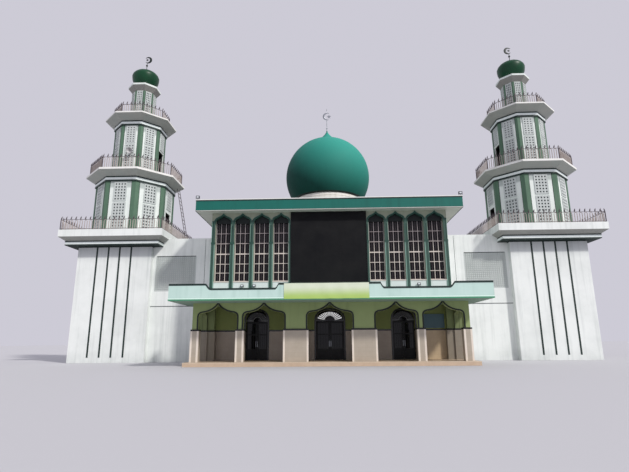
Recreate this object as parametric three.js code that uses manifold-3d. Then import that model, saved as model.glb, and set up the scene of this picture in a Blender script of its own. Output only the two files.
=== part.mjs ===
// Town mosque with a glazed hall, an arcaded porch and two stepped minarets.
// Units are millimetres, +Z is up, the front looks along -Y.
// The origin is on the ground at the middle of the porch front.
import * as THREE from "three";
import { mergeVertices } from "three/addons/utils/BufferGeometryUtils.js";
import Module from "manifold-3d";

const wasm = await Module();
wasm.setup();

// Hall block
const HALL_HALF = 7765;
const HALL_FRONT = 2610;
const HALL_BACK = 19390;
const WALL = 300;
const FLOOR_TOP = 225;
const STOREY = 4000;
const UPPER_SLAB = 200;
const ROOF_SOFFIT = 9764;
const ROOF_TOP = 10510;
const ROOF_SIDE = 976;
const ROOF_FRONT = 623;

// Doorways in the front wall
const DOOR_HALF = { left: 700, centre: 875, right: 700 };
const DOOR_X = { left: -4630, centre: 0, right: 4630 };
const DOOR_SPRING = 2655;
const DOOR_TIP = 3300;
const LEAF_TOP = 2580;
const LEAF_T = 45;
const LEAF_GAP = 16;
const PIVOT_R = 12;

// Tall upper windows
const WIN_X = [3145, 4430, 5715, 7000];
const WIN_HALF = 510;
const WIN_SILL = 5160;
const WIN_SPRING = 9190;
const WIN_TIP = 9600;
const SIDE_WIN_Y = [12200, 14000, 15800, 17600];
const REAR_WIN_X = [-5500, -3300, -1100, 1100, 3300, 5500];
const GLASS_T = 12;

// Porch arcade and canopy
const PORCH_HALF = 7970;
const PIER_D = 350;
const SPRING = 2750;
const ARCH_TIP = 3510;
const ARCHES = [[-7627, -5366], [-5011, -2621], [-1302, 1302], [2621, 5011], [5366, 7627]];
const DADO_TOP = 2060;
const DADO_T = 60;
const SIDE_IN = 7700;
const SIDE_ARCH = [450, 2210];
const JAMB_OUT = 8190;
const CORNER_X = 7250;
const CORNER_Y = 2310;
const PLINTH_HALF = 8280;
const CANOPY_SOFFIT = 3565;
const CANOPY_HALF = 8840;
const CANOPY_FRONT = -1835;
const CANOPY_SLAB = 200;
const PARAPET_T = 120;
const PARAPET_LOW = 4209;
const PARAPET_HIGH = 4469;

// Wings between the hall and the minarets
const WING_FRONT = 5770;
const WING_BACK = 10300;
const WING_TOP = 8780;
const WING_ROOF = 8000;
const VENT = { x0: 9630, x1: 12600, z0: 4910, z1: 7490 };

// Minarets
const TOWER_X = 15500;
const TOWER_Y = 8030;
const BASE_HALF = 2700;
const BASE_TOP = 8570;
const STEP_HALF = 3360;
const STEP_FOOT = 8160;
const B1_HALF = 3740;
const B1_TOP = 9230;
const R1 = 2714;
const STAGE1_TOP = 13560;
const B2_R = 3436;
const B2_TOP = 14050;
const R2 = 1817;
const STAGE2_TOP = 18570;
const B3_R = 2558;
const B3_TOP = 19050;
const RAIL2_R = 3220;
const RAIL3_R = 2015;
const R3 = 870;
const STAGE3_TOP = 21800;
const CAP_R = 1195;
const CAP_TOP = 22350;
const BAND = 370;

// Main dome
const DOME_Y = 11000;
const DRUM_R = 2820;
const DRUM_TOP = 13040;
const DOME_R = 3590;
const DOME_MID = 15150;
const DOME_NECK = 750;
const DOME_TIP = 19700;
const DOME_SHELL = 120;

const root = new THREE.Group();

function finish(colour, roughness, metalness = 0) {
  return new THREE.MeshStandardMaterial({ color: colour, roughness, metalness });
}
const LOOKS = {
  paintWhite: finish(0xe8ecea, 0.85), paintMint: finish(0xbfd8d0, 0.8),
  wallGreen: finish(0x8fae82, 0.85), tile: finish(0xcdbbaa, 0.4), floor: finish(0xddbfa8, 0.6),
  concrete: finish(0x9ea393, 0.9), slabGrey: finish(0xa7a79c, 0.9), fascia: finish(0x24786a, 0.55),
  canopyMint: finish(0xc4ddd3, 0.8), dome: finish(0x2e9a80, 0.3, 0.2), towerDome: finish(0x1f5b3a, 0.25, 0.2),
  frameDark: finish(0x15181a, 0.5), glass: finish(0x15151d, 0.1), sign: finish(0x15161c, 0.4),
  cloth: finish(0xd3e6a8, 0.9), board: finish(0x45606b, 0.6), vent: finish(0xcfd8d4, 0.9),
  steel: finish(0xb9bdb8, 0.5, 0.6), railing: finish(0x9d8f8c, 0.6, 0.3), finial: finish(0x2b3532, 0.4, 0.6),
};

function place(parent, name, geometry, look) {
  const mesh = new THREE.Mesh(geometry, LOOKS[look].clone());
  mesh.name = name;
  parent.add(mesh);
  return mesh;
}

// Solids from three.js shapes
function block(x0, x1, y0, y1, z0, z1) {
  const g = new THREE.BoxGeometry(x1 - x0, y1 - y0, z1 - z0);
  g.translate((x0 + x1) / 2, (y0 + y1) / 2, (z0 + z1) / 2);
  return g;
}
function outline(points, holes = []) {
  const s = new THREE.Shape(points.map((p) => new THREE.Vector2(p[0], p[1])));
  for (const h of holes) s.holes.push(new THREE.Path(h.map((p) => new THREE.Vector2(p[0], p[1]))));
  return s;
}
function extrude(shape, depth) {
  return new THREE.ExtrudeGeometry(shape, { depth, bevelEnabled: false });
}
// Outline in X and Z, thickness along Y
function alongY(shape, y0, y1) {
  const g = extrude(shape, y1 - y0);
  g.rotateX(Math.PI / 2);
  g.translate(0, y1, 0);
  return g;
}
// Outline in Y and Z, thickness along X
function alongX(shape, x0, x1) {
  const g = extrude(shape, x1 - x0);
  g.applyMatrix4(new THREE.Matrix4().set(0, 0, 1, x0, 1, 0, 0, 0, 0, 1, 0, 0, 0, 0, 0, 1));
  return g;
}
function alongZ(shape, z0, z1) {
  const g = extrude(shape, z1 - z0);
  g.translate(0, 0, z0);
  return g;
}
const tubeProfile = (r0, r1, z0, z1) => [[r0, z0], [r1, z0], [r1, z1], [r0, z1], [r0, z0]];
function turned(points, steps) {
  const g = new THREE.LatheGeometry(points.map((p) => new THREE.Vector2(p[0], p[1])), steps);
  g.rotateX(Math.PI / 2);
  return g;
}

// Boolean joins and cuts
function solid(geometry) {
  const bare = geometry.clone();
  bare.deleteAttribute("normal");
  bare.deleteAttribute("uv");
  const g = mergeVertices(bare, 0.01);
  return new wasm.Manifold(new wasm.Mesh({
    numProp: 3,
    vertProperties: new Float32Array(g.attributes.position.array),
    triVerts: new Uint32Array(g.index.array),
  }));
}
function geometryOf(manifold) {
  const m = manifold.getMesh();
  const g = new THREE.BufferGeometry();
  g.setAttribute("position", new THREE.BufferAttribute(new Float32Array(m.vertProperties), 3));
  g.setIndex(new THREE.BufferAttribute(new Uint32Array(m.triVerts), 1));
  g.computeVertexNormals();
  return g;
}
function join(...geometries) {
  return geometryOf(geometries.map(solid).reduce((a, b) => a.add(b)));
}
function cut(geometry, ...tools) {
  return geometryOf(tools.map(solid).reduce((a, b) => a.subtract(b), solid(geometry)));
}

// Left half of a pointed arch head, from the spring at (-1, 0) to the tip at (0, 1)
function halfHead(a, b, c, d, e, f, steps) {
  const low = new THREE.CubicBezierCurve(...[[-1, 0], a, b, c].map((p) => new THREE.Vector2(p[0], p[1])));
  const high = new THREE.CubicBezierCurve(...[c, d, e, f].map((p) => new THREE.Vector2(p[0], p[1])));
  return [...low.getPoints(steps), ...high.getPoints(steps + 1).slice(1)];
}
const OGEE = halfHead([-1, 0.27], [-0.92, 0.34], [-0.72, 0.37], [-0.38, 0.44], [-0.12, 0.72], [0, 1], 4);
const ROUND = halfHead([-1, 0.36], [-0.86, 0.66], [-0.6, 0.83], [-0.4, 0.95], [-0.15, 0.97], [0, 1], 3);
const WINDOW = halfHead([-1, 0.2], [-0.9, 0.36], [-0.66, 0.5], [-0.4, 0.64], [-0.14, 0.78], [0, 1], 2);

// Arch head points from left spring to right spring
function head(kind, x0, x1, spring, tip) {
  const mid = (x0 + x1) / 2, half = (x1 - x0) / 2, rise = tip - spring;
  const left = kind.map((p) => [mid + p.x * half, spring + p.y * rise]);
  const right = kind.slice(0, -1).reverse().map((p) => [mid - p.x * half, spring + p.y * rise]);
  return [...left, ...right];
}
function windowHole(mid) {
  const x0 = mid - WIN_HALF, x1 = mid + WIN_HALF;
  return [[x0, WIN_SILL], ...head(WINDOW, x0, x1, WIN_SPRING, WIN_TIP), [x1, WIN_SILL]];
}
function ringPoints(apothem, cx = 0, cy = 0) {
  const r = apothem / Math.cos(Math.PI / 8);
  return Array.from({ length: 8 }, (_, k) => {
    const a = -Math.PI / 2 + Math.PI / 8 + (k * Math.PI) / 4;
    return [cx + r * Math.cos(a), cy + r * Math.sin(a)];
  });
}

// Ground slab under porch and hall
function buildFloors() {
  const t = HALL_HALF - WALL, back = HALL_BACK - WALL;
  const plan = outline([[-PLINTH_HALF, -520], [PLINTH_HALF, -520], [PLINTH_HALF, HALL_FRONT],
    [HALL_HALF, HALL_FRONT], [HALL_HALF, HALL_FRONT + WALL], [t, HALL_FRONT + WALL], [t, back], [-t, back],
    [-t, HALL_FRONT + WALL], [-HALL_HALF, HALL_FRONT + WALL], [-HALL_HALF, HALL_FRONT],
    [-PLINTH_HALF, HALL_FRONT]]);
  place(root, "ground_floor_slab", alongZ(plan, 0, FLOOR_TOP), "floor");
  place(root, "upper_floor_slab",
    block(-t, t, HALL_FRONT + WALL, back, STOREY - UPPER_SLAB, STOREY), "slabGrey");
}

// Front arcade with its piers, and side arcades; a tiled dado stands proud round the foot of each pier
function buildPorch() {
  const edge = [[-PORCH_HALF, SPRING]];
  ARCHES.forEach(([x0, x1], i) => {
    if (i > 0) edge.push([x0, FLOOR_TOP]);
    edge.push(...head(OGEE, x0, x1, SPRING, ARCH_TIP));
    if (i < ARCHES.length - 1) edge.push([x1, FLOOR_TOP]);
  });
  edge.push([PORCH_HALF, SPRING], [PORCH_HALF, CANOPY_SOFFIT], [-PORCH_HALF, CANOPY_SOFFIT]);
  const d = DADO_T, dados = ARCHES.slice(1).map(([x], i) =>
    block(ARCHES[i][1] - d, x + d, -d, PIER_D + d, FLOOR_TOP, DADO_TOP));
  place(root, "arcade_front", join(alongY(outline(edge), 0, PIER_D), ...dados), "wallGreen");
  const [y0, y1] = SIDE_ARCH;
  const side = outline([[0, FLOOR_TOP], [y0, FLOOR_TOP], ...head(OGEE, y0, y1, SPRING, ARCH_TIP),
    [y1, FLOOR_TOP], [HALL_FRONT, FLOOR_TOP], [HALL_FRONT, CANOPY_SOFFIT], [PIER_D, CANOPY_SOFFIT],
    [PIER_D, SPRING], [0, SPRING]]);
  for (const [label, s] of [["left", -1], ["right", 1]]) {
    const across = (a, b, ...rest) => block(Math.min(s * a, s * b), Math.max(s * a, s * b), ...rest);
    const inner = ARCHES[4][1], outer = PORCH_HALF;
    place(root, "arcade_side_" + label, join(
      alongX(side, s < 0 ? -outer : SIDE_IN, s < 0 ? -SIDE_IN : outer),
      across(inner, SIDE_IN, 0, PIER_D, FLOOR_TOP, SPRING),
      across(outer, JAMB_OUT, y1, HALL_FRONT, FLOOR_TOP, CANOPY_SOFFIT),
      across(CORNER_X, SIDE_IN, CORNER_Y, HALL_FRONT, FLOOR_TOP, CANOPY_SOFFIT),
      across(inner - d, outer + d, -d, PIER_D + d, FLOOR_TOP, DADO_TOP),
      across(SIDE_IN - d, outer + d, PIER_D, y0 + d, FLOOR_TOP, DADO_TOP),
      across(SIDE_IN - d, JAMB_OUT + d, y1 - d, HALL_FRONT, FLOOR_TOP, DADO_TOP),
      across(CORNER_X - d, SIDE_IN, CORNER_Y - d, HALL_FRONT, FLOOR_TOP, DADO_TOP)), "wallGreen");
  }
}

// Canopy slab with its stepped parapet
function parapetProfile() {
  const step = (x, w, dir) => Array.from({ length: 5 }, (_, i) => {
    const t = i / 4, s = dir > 0 ? 1 - Math.cos((t * Math.PI) / 2) : Math.sin((t * Math.PI) / 2);
    return [x + w * t, (dir > 0 ? PARAPET_LOW : PARAPET_HIGH) + dir * s * (PARAPET_HIGH - PARAPET_LOW)];
  });
  const falling = (x, w) => Array.from({ length: 5 }, (_, i) => {
    const t = i / 4;
    return [x + w * t, PARAPET_LOW + (1 - Math.sin((t * Math.PI) / 2)) * (PARAPET_HIGH - PARAPET_LOW)];
  });
  return [[-CANOPY_HALF, CANOPY_SOFFIT], [-CANOPY_HALF, PARAPET_HIGH], ...falling(-6790, 290),
    ...step(-2980, 200, 1), ...falling(2780, 200), ...step(6500, 290, 1),
    [CANOPY_HALF, PARAPET_HIGH], [CANOPY_HALF, CANOPY_SOFFIT]].reverse();
}
function buildCanopy() {
  const front = alongY(outline(parapetProfile()), CANOPY_FRONT, CANOPY_FRONT + PARAPET_T);
  const slab = block(-CANOPY_HALF, CANOPY_HALF, CANOPY_FRONT, HALL_FRONT, CANOPY_SOFFIT, CANOPY_SOFFIT + CANOPY_SLAB);
  const cheek = (x0) => block(x0, x0 + PARAPET_T, CANOPY_FRONT, HALL_FRONT, CANOPY_SOFFIT, PARAPET_HIGH);
  place(root, "canopy", join(slab, front, cheek(-CANOPY_HALF), cheek(CANOPY_HALF - PARAPET_T)), "canopyMint");
  place(root, "canopy_banner", block(-2480, 2150, CANOPY_FRONT - 12, CANOPY_FRONT, 3610, 4460), "cloth");
}

// Front wall of the lower storey, split at its three doorways
function buildFrontLower() {
  const y0 = HALL_FRONT, y1 = HALL_FRONT + WALL;
  const edges = [-HALL_HALF];
  for (const k of ["left", "centre", "right"]) edges.push(DOOR_X[k] - DOOR_HALF[k], DOOR_X[k] + DOOR_HALF[k]);
  edges.push(HALL_HALF);
  const names = ["front_wall_end_left", "front_wall_pier_left", "front_wall_pier_right", "front_wall_end_right"];
  names.forEach((name, i) => place(root, name,
    block(edges[2 * i], edges[2 * i + 1], y0, y1, FLOOR_TOP, DOOR_SPRING), "wallGreen"));
  const over = [[-HALL_HALF, DOOR_SPRING]];
  for (const k of ["left", "centre", "right"]) {
    over.push(...head(ROUND, DOOR_X[k] - DOOR_HALF[k], DOOR_X[k] + DOOR_HALF[k], DOOR_SPRING, DOOR_TIP));
  }
  over.push([HALL_HALF, DOOR_SPRING], [HALL_HALF, STOREY], [-HALL_HALF, STOREY]);
  place(root, "front_wall_over_doors", alongY(outline(over), y0, y1), "wallGreen");
  for (const k of ["left", "centre", "right"]) {
    const x0 = DOOR_X[k] - DOOR_HALF[k] - 60, x1 = DOOR_X[k] + DOOR_HALF[k] + 60;
    const light = outline([[x0, 2600], ...head(ROUND, x0, x1, DOOR_SPRING, DOOR_TIP + 60), [x1, 2600]]);
    place(root, "fanlight_" + k, alongY(light, y1, y1 + 40), "frameDark");
    buildLeaves(k);
  }
  place(root, "notice_board", block(5890, 7150, y0 - 40, y0, 2108, 2970), "board");
}

// A door leaf is a frame with a tall glass panel over a solid panel, turning on a floor pivot
function leafShape(width, lower) {
  const h = LEAF_TOP - lower, half = LEAF_T / 2;
  const frame = outline([[0, 0], [width, 0], [width, h], [0, h]],
    [[[110, 760], [110, h - 110], [width - 110, h - 110], [width - 110, 760]]]);
  const pane = block(100, width - 100, -6, 6, 750, h - 100);
  const pin = new THREE.CylinderGeometry(PIVOT_R, PIVOT_R, 30, 16);
  pin.rotateX(Math.PI / 2);
  pin.translate(half, 0, FLOOR_TOP + 0.3 - lower + 15);
  const g = join(alongY(frame, -half, half), pane, pin);
  g.translate(-half, 0, 0);
  return g;
}
function buildLeaves(k) {
  const lower = FLOOR_TOP + 8, half = LEAF_T / 2;
  const width = DOOR_HALF[k] - LEAF_GAP - 5, y = HALL_FRONT + WALL - 10 - half;
  for (const side of [-1, 1]) {
    const holder = new THREE.Group();
    holder.position.set(DOOR_X[k] + side * (DOOR_HALF[k] - LEAF_GAP - half), y, lower);
    const g = leafShape(width, lower);
    if (side > 0) g.rotateZ(Math.PI);
    place(holder, `door_${k}_leaf_${side < 0 ? "left" : "right"}`, g, "frameDark");
    root.add(holder);
  }
}

// Upper front wall and the other hall walls
function buildHallWalls() {
  const y0 = HALL_FRONT + WALL, t = HALL_HALF - WALL;
  const inFront = [...WIN_X.map((x) => -x), ...WIN_X].map((x) =>
    alongY(outline(windowHole(x)), HALL_FRONT - 50, y0 + 50));
  place(root, "front_wall_upper",
    cut(block(-HALL_HALF, HALL_HALF, HALL_FRONT, y0, STOREY, ROOF_SOFFIT), ...inFront), "paintMint");
  for (const [name, x0] of [["side_wall_left", -HALL_HALF], ["side_wall_right", t]]) {
    const holes = SIDE_WIN_Y.map((y) => alongX(outline(windowHole(y)), x0 - 50, x0 + WALL + 50));
    place(root, name, cut(block(x0, x0 + WALL, y0, HALL_BACK, 0, ROOF_SOFFIT), ...holes), "paintWhite");
  }
  const behind = REAR_WIN_X.map((x) => alongY(outline(windowHole(x)), HALL_BACK - WALL - 50, HALL_BACK + 50));
  place(root, "rear_wall", cut(block(-t, t, HALL_BACK - WALL, HALL_BACK, 0, ROOF_SOFFIT), ...behind), "paintWhite");
  const glass = outline([[-t, y0], [t, y0], [t, HALL_BACK - WALL], [-t, HALL_BACK - WALL]],
    [[[-t + GLASS_T, y0 + GLASS_T], [-t + GLASS_T, HALL_BACK - WALL - GLASS_T],
      [t - GLASS_T, HALL_BACK - WALL - GLASS_T], [t - GLASS_T, y0 + GLASS_T]]]);
  place(root, "upper_window_glass", alongZ(glass, WIN_SILL - 100, WIN_TIP + 60), "glass");
  place(root, "front_sign_board", block(-2490, 2490, HALL_FRONT - 80, HALL_FRONT, 5060, 9740), "sign");
}

// Roof tray with a deep fascia
function buildRoof() {
  const hx = HALL_HALF + ROOF_SIDE, y0 = HALL_FRONT - ROOF_FRONT, y1 = HALL_BACK + ROOF_FRONT;
  const tray = cut(block(-hx, hx, y0, y1, ROOF_SOFFIT, ROOF_TOP),
    block(-hx + 150, hx - 150, y0 + 150, y1 - 150, ROOF_SOFFIT + 200, ROOF_TOP + 100));
  place(root, "hall_roof", tray, "fascia");
}

// Drum, dome shell and finial over the middle of the hall
function crescent(radius, width, open) {
  const pts = [];
  const a0 = (38 * Math.PI) / 180, n = 14;
  for (let i = 0; i <= n; i++) {
    const a = a0 + ((2 * Math.PI - 2 * a0) * i) / n;
    pts.push([open * radius * Math.cos(a), radius * Math.sin(a)]);
  }
  for (let i = n - 1; i > 0; i--) {
    const a = a0 + ((2 * Math.PI - 2 * a0) * i) / n;
    const w = width * Math.sin((Math.PI * i) / n);
    pts.push([open * (radius - w) * Math.cos(a), (radius - w) * Math.sin(a)]);
  }
  return open > 0 ? pts : pts.reverse();
}
function finialShape(height, pole, balls, radius, width, thick, open, aside = 0) {
  const profile = [[0, 0], [pole * 1.6, 0], [pole, 60]];
  for (const [z, r] of balls) {
    for (let i = 0; i <= 6; i++) {
      const a = -1.2 + (2.4 * i) / 6;
      profile.push([Math.max(r * Math.cos(a), pole), z + r * Math.sin(a)]);
    }
  }
  profile.push([pole, height - 2 * radius + width * 0.5], [0, height - 2 * radius + width * 0.5]);
  const moon = alongY(outline(crescent(radius, width, open)), -thick / 2, thick / 2);
  moon.translate(aside, 0, height - radius);
  return join(turned(profile, 10), moon);
}
function buildDome() {
  const drum = tubeProfile(DRUM_R - 250, DRUM_R, ROOF_SOFFIT + 200, DRUM_TOP);
  const g = turned(drum, 36);
  g.translate(0, DOME_Y, 0);
  place(root, "dome_drum", g, "paintWhite");
  const ball = (r, count, from, to) => Array.from({ length: count + 1 }, (_, i) => {
    const a = from + ((to - from) * i) / count;
    return [r * Math.cos(a), DOME_MID + r * Math.sin(a)];
  });
  const skin = [...ball(DOME_R, 14, Math.asin((DRUM_TOP - DOME_MID) / DOME_R), Math.acos(DOME_NECK / DOME_R)),
    [520, 18770], [340, 18920], [200, 19140], [110, 19400], [60, DOME_TIP], [0, DOME_TIP]];
  const hollow = ball(DOME_R - DOME_SHELL, 12, Math.PI / 2, -0.6);
  hollow[0][0] = 0;
  const shell = turned([...hollow, [DRUM_R - 150, DRUM_TOP], ...skin], 36);
  shell.translate(0, DOME_Y, 0);
  place(root, "main_dome", shell, "dome");
  const f = finialShape(1900, 32, [[330, 120], [620, 85]], 356, 110, 60, 1);
  f.translate(0, DOME_Y, DOME_TIP);
  place(root, "dome_finial", f, "steel");
}

// A wing is a front wall, roof slab and rear wall cast as one
function buildWing(side) {
  const far = TOWER_X - BASE_HALF, a = WING_FRONT, b = WING_BACK, w = 250;
  const section = outline([[a, 0], [a + w, 0], [a + w, WING_ROOF], [b - w, WING_ROOF], [b - w, 0], [b, 0],
    [b, WING_TOP], [b - w, WING_TOP], [b - w, WING_ROOF + 200], [a + w, WING_ROOF + 200],
    [a + w, WING_TOP], [a, WING_TOP]]);
  const x0 = side < 0 ? -far : HALL_HALF, x1 = side < 0 ? -HALL_HALF : far;
  const v0 = side < 0 ? -VENT.x1 : VENT.x0, v1 = side < 0 ? -VENT.x0 : VENT.x1;
  const label = side < 0 ? "left" : "right";
  const under = [tube(squarePoints, STEP_HALF + 0.3, 960, STEP_FOOT - 0.3, BASE_TOP + 0.3),
    slabUnder(B1_HALF + 0.3, STEP_HALF + 0.3, 250, 500.6, B1_TOP + 0.3, squarePoints)];
  under.forEach((g) => g.translate(side * TOWER_X, TOWER_Y, 0));
  place(root, "wing_" + label, cut(alongX(section, x0, x1),
    block(v0, v1, a - 50, a + w + 50, VENT.z0, VENT.z1), ...under), "paintWhite");
  place(root, "vent_screen_" + label, block(v0, v1, a + 10, a + 130, VENT.z0, VENT.z1), "vent");
}

// Minaret pieces, in the tower's own frame
function slabUnder(outer, inner, rise, thick, top, points) {
  const z = top - thick;
  const low = points(inner), high = points(outer), n = low.length, pos = [];
  const rings = [low.map((p) => [...p, z - rise]), high.map((p) => [...p, z]), high.map((p) => [...p, top])];
  const idx = [];
  rings.flat().forEach((p) => pos.push(...p));
  for (let r = 0; r < 2; r++) {
    for (let i = 0; i < n; i++) {
      const j = (i + 1) % n, p = r * n + i, q = r * n + j;
      idx.push(p, q, q + n, p, q + n, p + n);
    }
  }
  for (let i = 1; i < n - 1; i++) idx.push(0, i + 1, i, 2 * n, 2 * n + i, 2 * n + i + 1);
  const g = new THREE.BufferGeometry();
  g.setAttribute("position", new THREE.BufferAttribute(new Float32Array(pos), 3));
  g.setIndex(idx);
  g.computeVertexNormals();
  return g;
}
const squarePoints = (h) => [[-h, -h], [h, -h], [h, h], [-h, h]];
function tube(points, outer, wall, z0, z1) {
  return alongZ(outline(points(outer), [points(outer - wall).reverse()]), z0, z1);
}
function railing(points, r, z0, rail, spike, extra) {
  const bars = [tube(points, r, 40, z0 + rail - 40, z0 + rail), tube(points, r, 40, z0, z0 + 50)];
  const at = points(r - 20);
  at.forEach((p, i) => {
    const q = at[(i + 1) % at.length];
    for (let k = 0; k <= extra; k++) {
      const t = k / (extra + 1), x = p[0] + (q[0] - p[0]) * t, y = p[1] + (q[1] - p[1]) * t;
      bars.push(block(x - 20, x + 20, y - 20, y + 20, z0, z0 + (k ? rail : spike)));
    }
  });
  return join(...bars);
}
function boxBlock(side, r, wall) {
  return side < 0 ? [-r - 50, -r + wall + 50] : [r - wall - 50, r + 50];
}
function stageWithDoor(side, r, wall, z0, z1, half, high) {
  const whole = join(tube(ringPoints, r, wall, z0, z1), tube(ringPoints, r + 60, wall + 60, z1 - BAND, z1));
  const [x0, x1] = boxBlock(side, r, wall);
  return cut(whole, block(x0, x1, -half, half, z0 - 50, z0 + high));
}
function buildMinaret(side) {
  const tower = new THREE.Group(), label = side < 0 ? "left" : "right";
  tower.position.set(side * TOWER_X, TOWER_Y, 0);
  root.add(tower);
  const add = (name, g, look) => place(tower, `minaret_${label}_${name}`, g, look);
  add("base", join(tube(squarePoints, BASE_HALF, 300, 0, BASE_TOP),
    tube(squarePoints, STEP_HALF, 960, STEP_FOOT, BASE_TOP),
    slabUnder(B1_HALF, STEP_HALF, 250, 500, B1_TOP, squarePoints)), "paintWhite");
  add("railing_1", railing(squarePoints, B1_HALF - 60, B1_TOP, 720, 870, 3), "railing");
  const inward = -side;
  add("stage_1", stageWithDoor(inward, R1, 250, B1_TOP, STAGE1_TOP, 520, 2100), "paintMint");
  add("balcony_2", slabUnder(B2_R, R1 + 60, 340, 150, B2_TOP, ringPoints), "slabGrey");
  add("railing_2", railing(ringPoints, RAIL2_R, B2_TOP, 900, 1120, 1), "railing");
  add("stage_2", stageWithDoor(inward, R2, 220, B2_TOP, STAGE2_TOP, 500, 2500), "paintMint");
  add("balcony_3", slabUnder(B3_R, R2 + 60, 370, 110, B3_TOP, ringPoints), "slabGrey");
  add("railing_3", railing(ringPoints, RAIL3_R, B3_TOP, 880, 1130, 0), "railing");
  add("stage_3", join(tube(ringPoints, R3, 200, B3_TOP, STAGE3_TOP),
    slabUnder(CAP_R, R3, 400, 150, CAP_TOP, ringPoints)), "paintMint");
  const skin = [[0, CAP_TOP], [700, CAP_TOP], [700, 22583], [847, 22730], [978, 22930], [1055, 23130],
    [1098, 23430], [1068, 23605], [944, 23785], [749, 23919], [508, 24024], [254, 24087], [0, 24110]];
  add("dome", turned(skin, 24), "towerDome");
  const f = finialShape(1450, 22, [[590, 75]], 320, 80, 50, side, -side * 100);
  f.translate(0, 0, 24110);
  add("finial", f, "finial");
}

// Access ladder from the left wing's roof to the second balcony
function buildLadder() {
  const foot = [-11280, WING_ROOF + 204.6], top = [-12430, 13700], y0 = 8850, y1 = 9430;
  const len = Math.hypot(top[0] - foot[0], top[1] - foot[1]);
  const parts = [block(-20, 20, -25, 25, 0, len), block(-20, 20, y1 - y0 - 25, y1 - y0 + 25, 0, len)];
  for (let z = 300; z < len - 100; z += 330) parts.push(block(-14, 14, 0, y1 - y0, z, z + 28));
  const g = join(...parts);
  const m = new THREE.Mesh(g, LOOKS.railing.clone());
  m.name = "roof_ladder";
  m.position.set(foot[0], y0, foot[1]);
  m.rotation.set(0, Math.atan2(top[0] - foot[0], top[1] - foot[1]), 0);
  root.add(m);
}

buildFloors();
buildPorch();
buildCanopy();
buildFrontLower();
buildHallWalls();
buildRoof();
buildDome();
for (const side of [-1, 1]) {
  buildWing(side);
  buildMinaret(side);
}
buildLadder();

export default root;
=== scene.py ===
# %% [markdown]
# # A town mosque with two stepped minarets
# The real building is cast concrete and rendered brick under emulsion paint: a glazed hall, a porch
# of pointed arches, two plain wings and two octagonal towers. The solids are already packed, so this
# lesson dresses them: first the view and the light, then one paint or metal at a time, then the
# pieces that a solid model leaves out, such as window bars, railings, trims and tiles.

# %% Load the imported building
import math
import bmesh
import bpy
from mathutils import Matrix, Vector, noise


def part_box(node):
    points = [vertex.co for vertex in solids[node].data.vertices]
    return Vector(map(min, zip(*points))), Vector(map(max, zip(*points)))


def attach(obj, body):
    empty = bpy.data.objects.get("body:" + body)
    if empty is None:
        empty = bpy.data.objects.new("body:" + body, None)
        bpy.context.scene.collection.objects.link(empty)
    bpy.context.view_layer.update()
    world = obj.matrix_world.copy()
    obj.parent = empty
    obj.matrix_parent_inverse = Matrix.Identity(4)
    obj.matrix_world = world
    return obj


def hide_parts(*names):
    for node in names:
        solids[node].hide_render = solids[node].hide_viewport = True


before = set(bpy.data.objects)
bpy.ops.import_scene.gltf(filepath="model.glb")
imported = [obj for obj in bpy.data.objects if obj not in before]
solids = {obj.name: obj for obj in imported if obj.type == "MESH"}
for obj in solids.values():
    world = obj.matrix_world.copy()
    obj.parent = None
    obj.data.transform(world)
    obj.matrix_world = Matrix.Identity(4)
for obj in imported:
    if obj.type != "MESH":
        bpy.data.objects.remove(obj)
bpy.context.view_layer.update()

# %% [markdown]
# ## Where the viewer stands
# The picture was taken from the street, about 27 m in front of the porch at eye height, tilted up.
# A camera could be pointed with a Track To constraint, but its roll and tilt were solved
# from the building's corners, so the three directions of its frame are worked out and set at once.

# %% Camera
eye = Vector((-0.041, -26.588, 1.392))
pitch, yaw, roll = (math.radians(a) for a in (12.956, -1.738, -0.422))
forward = Vector((math.sin(yaw) * math.cos(pitch), math.cos(yaw) * math.cos(pitch), math.sin(pitch)))
level = Vector((math.cos(yaw), -math.sin(yaw), 0))
upright = level.cross(forward)
right = level * math.cos(roll) + upright * math.sin(roll)
up = upright * math.cos(roll) - level * math.sin(roll)
camera = bpy.data.objects.new("camera", bpy.data.cameras.new("camera"))
camera.data.lens = 26.03
camera.data.clip_end = 500
camera.matrix_world = Matrix(((right.x, up.x, -forward.x, eye.x), (right.y, up.y, -forward.y, eye.y),
                              (right.z, up.z, -forward.z, eye.z), (0, 0, 0, 1)))
bpy.context.scene.collection.objects.link(camera)
bpy.context.scene.camera = camera
print("camera at", tuple(round(c, 2) for c in eye))

# %% [markdown]
# ## Colours
# Paint colours are noted as sRGB hex, as a paint shop would give them, but shaders add up light in
# linear values. One function turns the one into the other, and one small helper adds a shader node
# with its settings, where each input is either a plain value or another node's output.

# %% Two helpers for every material
def linear(text):
    parts = [int(text[i:i + 2], 16) / 255 for i in (1, 3, 5)]
    return tuple(c / 12.92 if c <= 0.04045 else ((c + 0.055) / 1.055) ** 2.4 for c in parts) + (1.0,)


def node(tree, kind, inputs=None, **settings):
    made = tree.nodes.new("ShaderNode" + kind)
    for key, value in settings.items():
        setattr(made, key, value)
    for socket, value in (inputs or {}).items():
        if isinstance(value, bpy.types.NodeSocket):
            tree.links.new(value, made.inputs[socket])
        else:
            made.inputs[socket].default_value = value
    return made


print("white wall in linear light", [round(c, 3) for c in linear("#E8ECEA")[:3]])

# %% [markdown]
# ## Light and floor
# It was a hazy afternoon with a weak sun from the front right: the shaded walls are half as bright
# as the lit ones. A wide pale sky does most of the work, and one soft sun gives the canopy its
# shadow on the piers. A studio of area lights would need far larger lamps than the building. The
# Standard view keeps the paint colours as they are mixed, where a filmic one would grey them.

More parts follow.
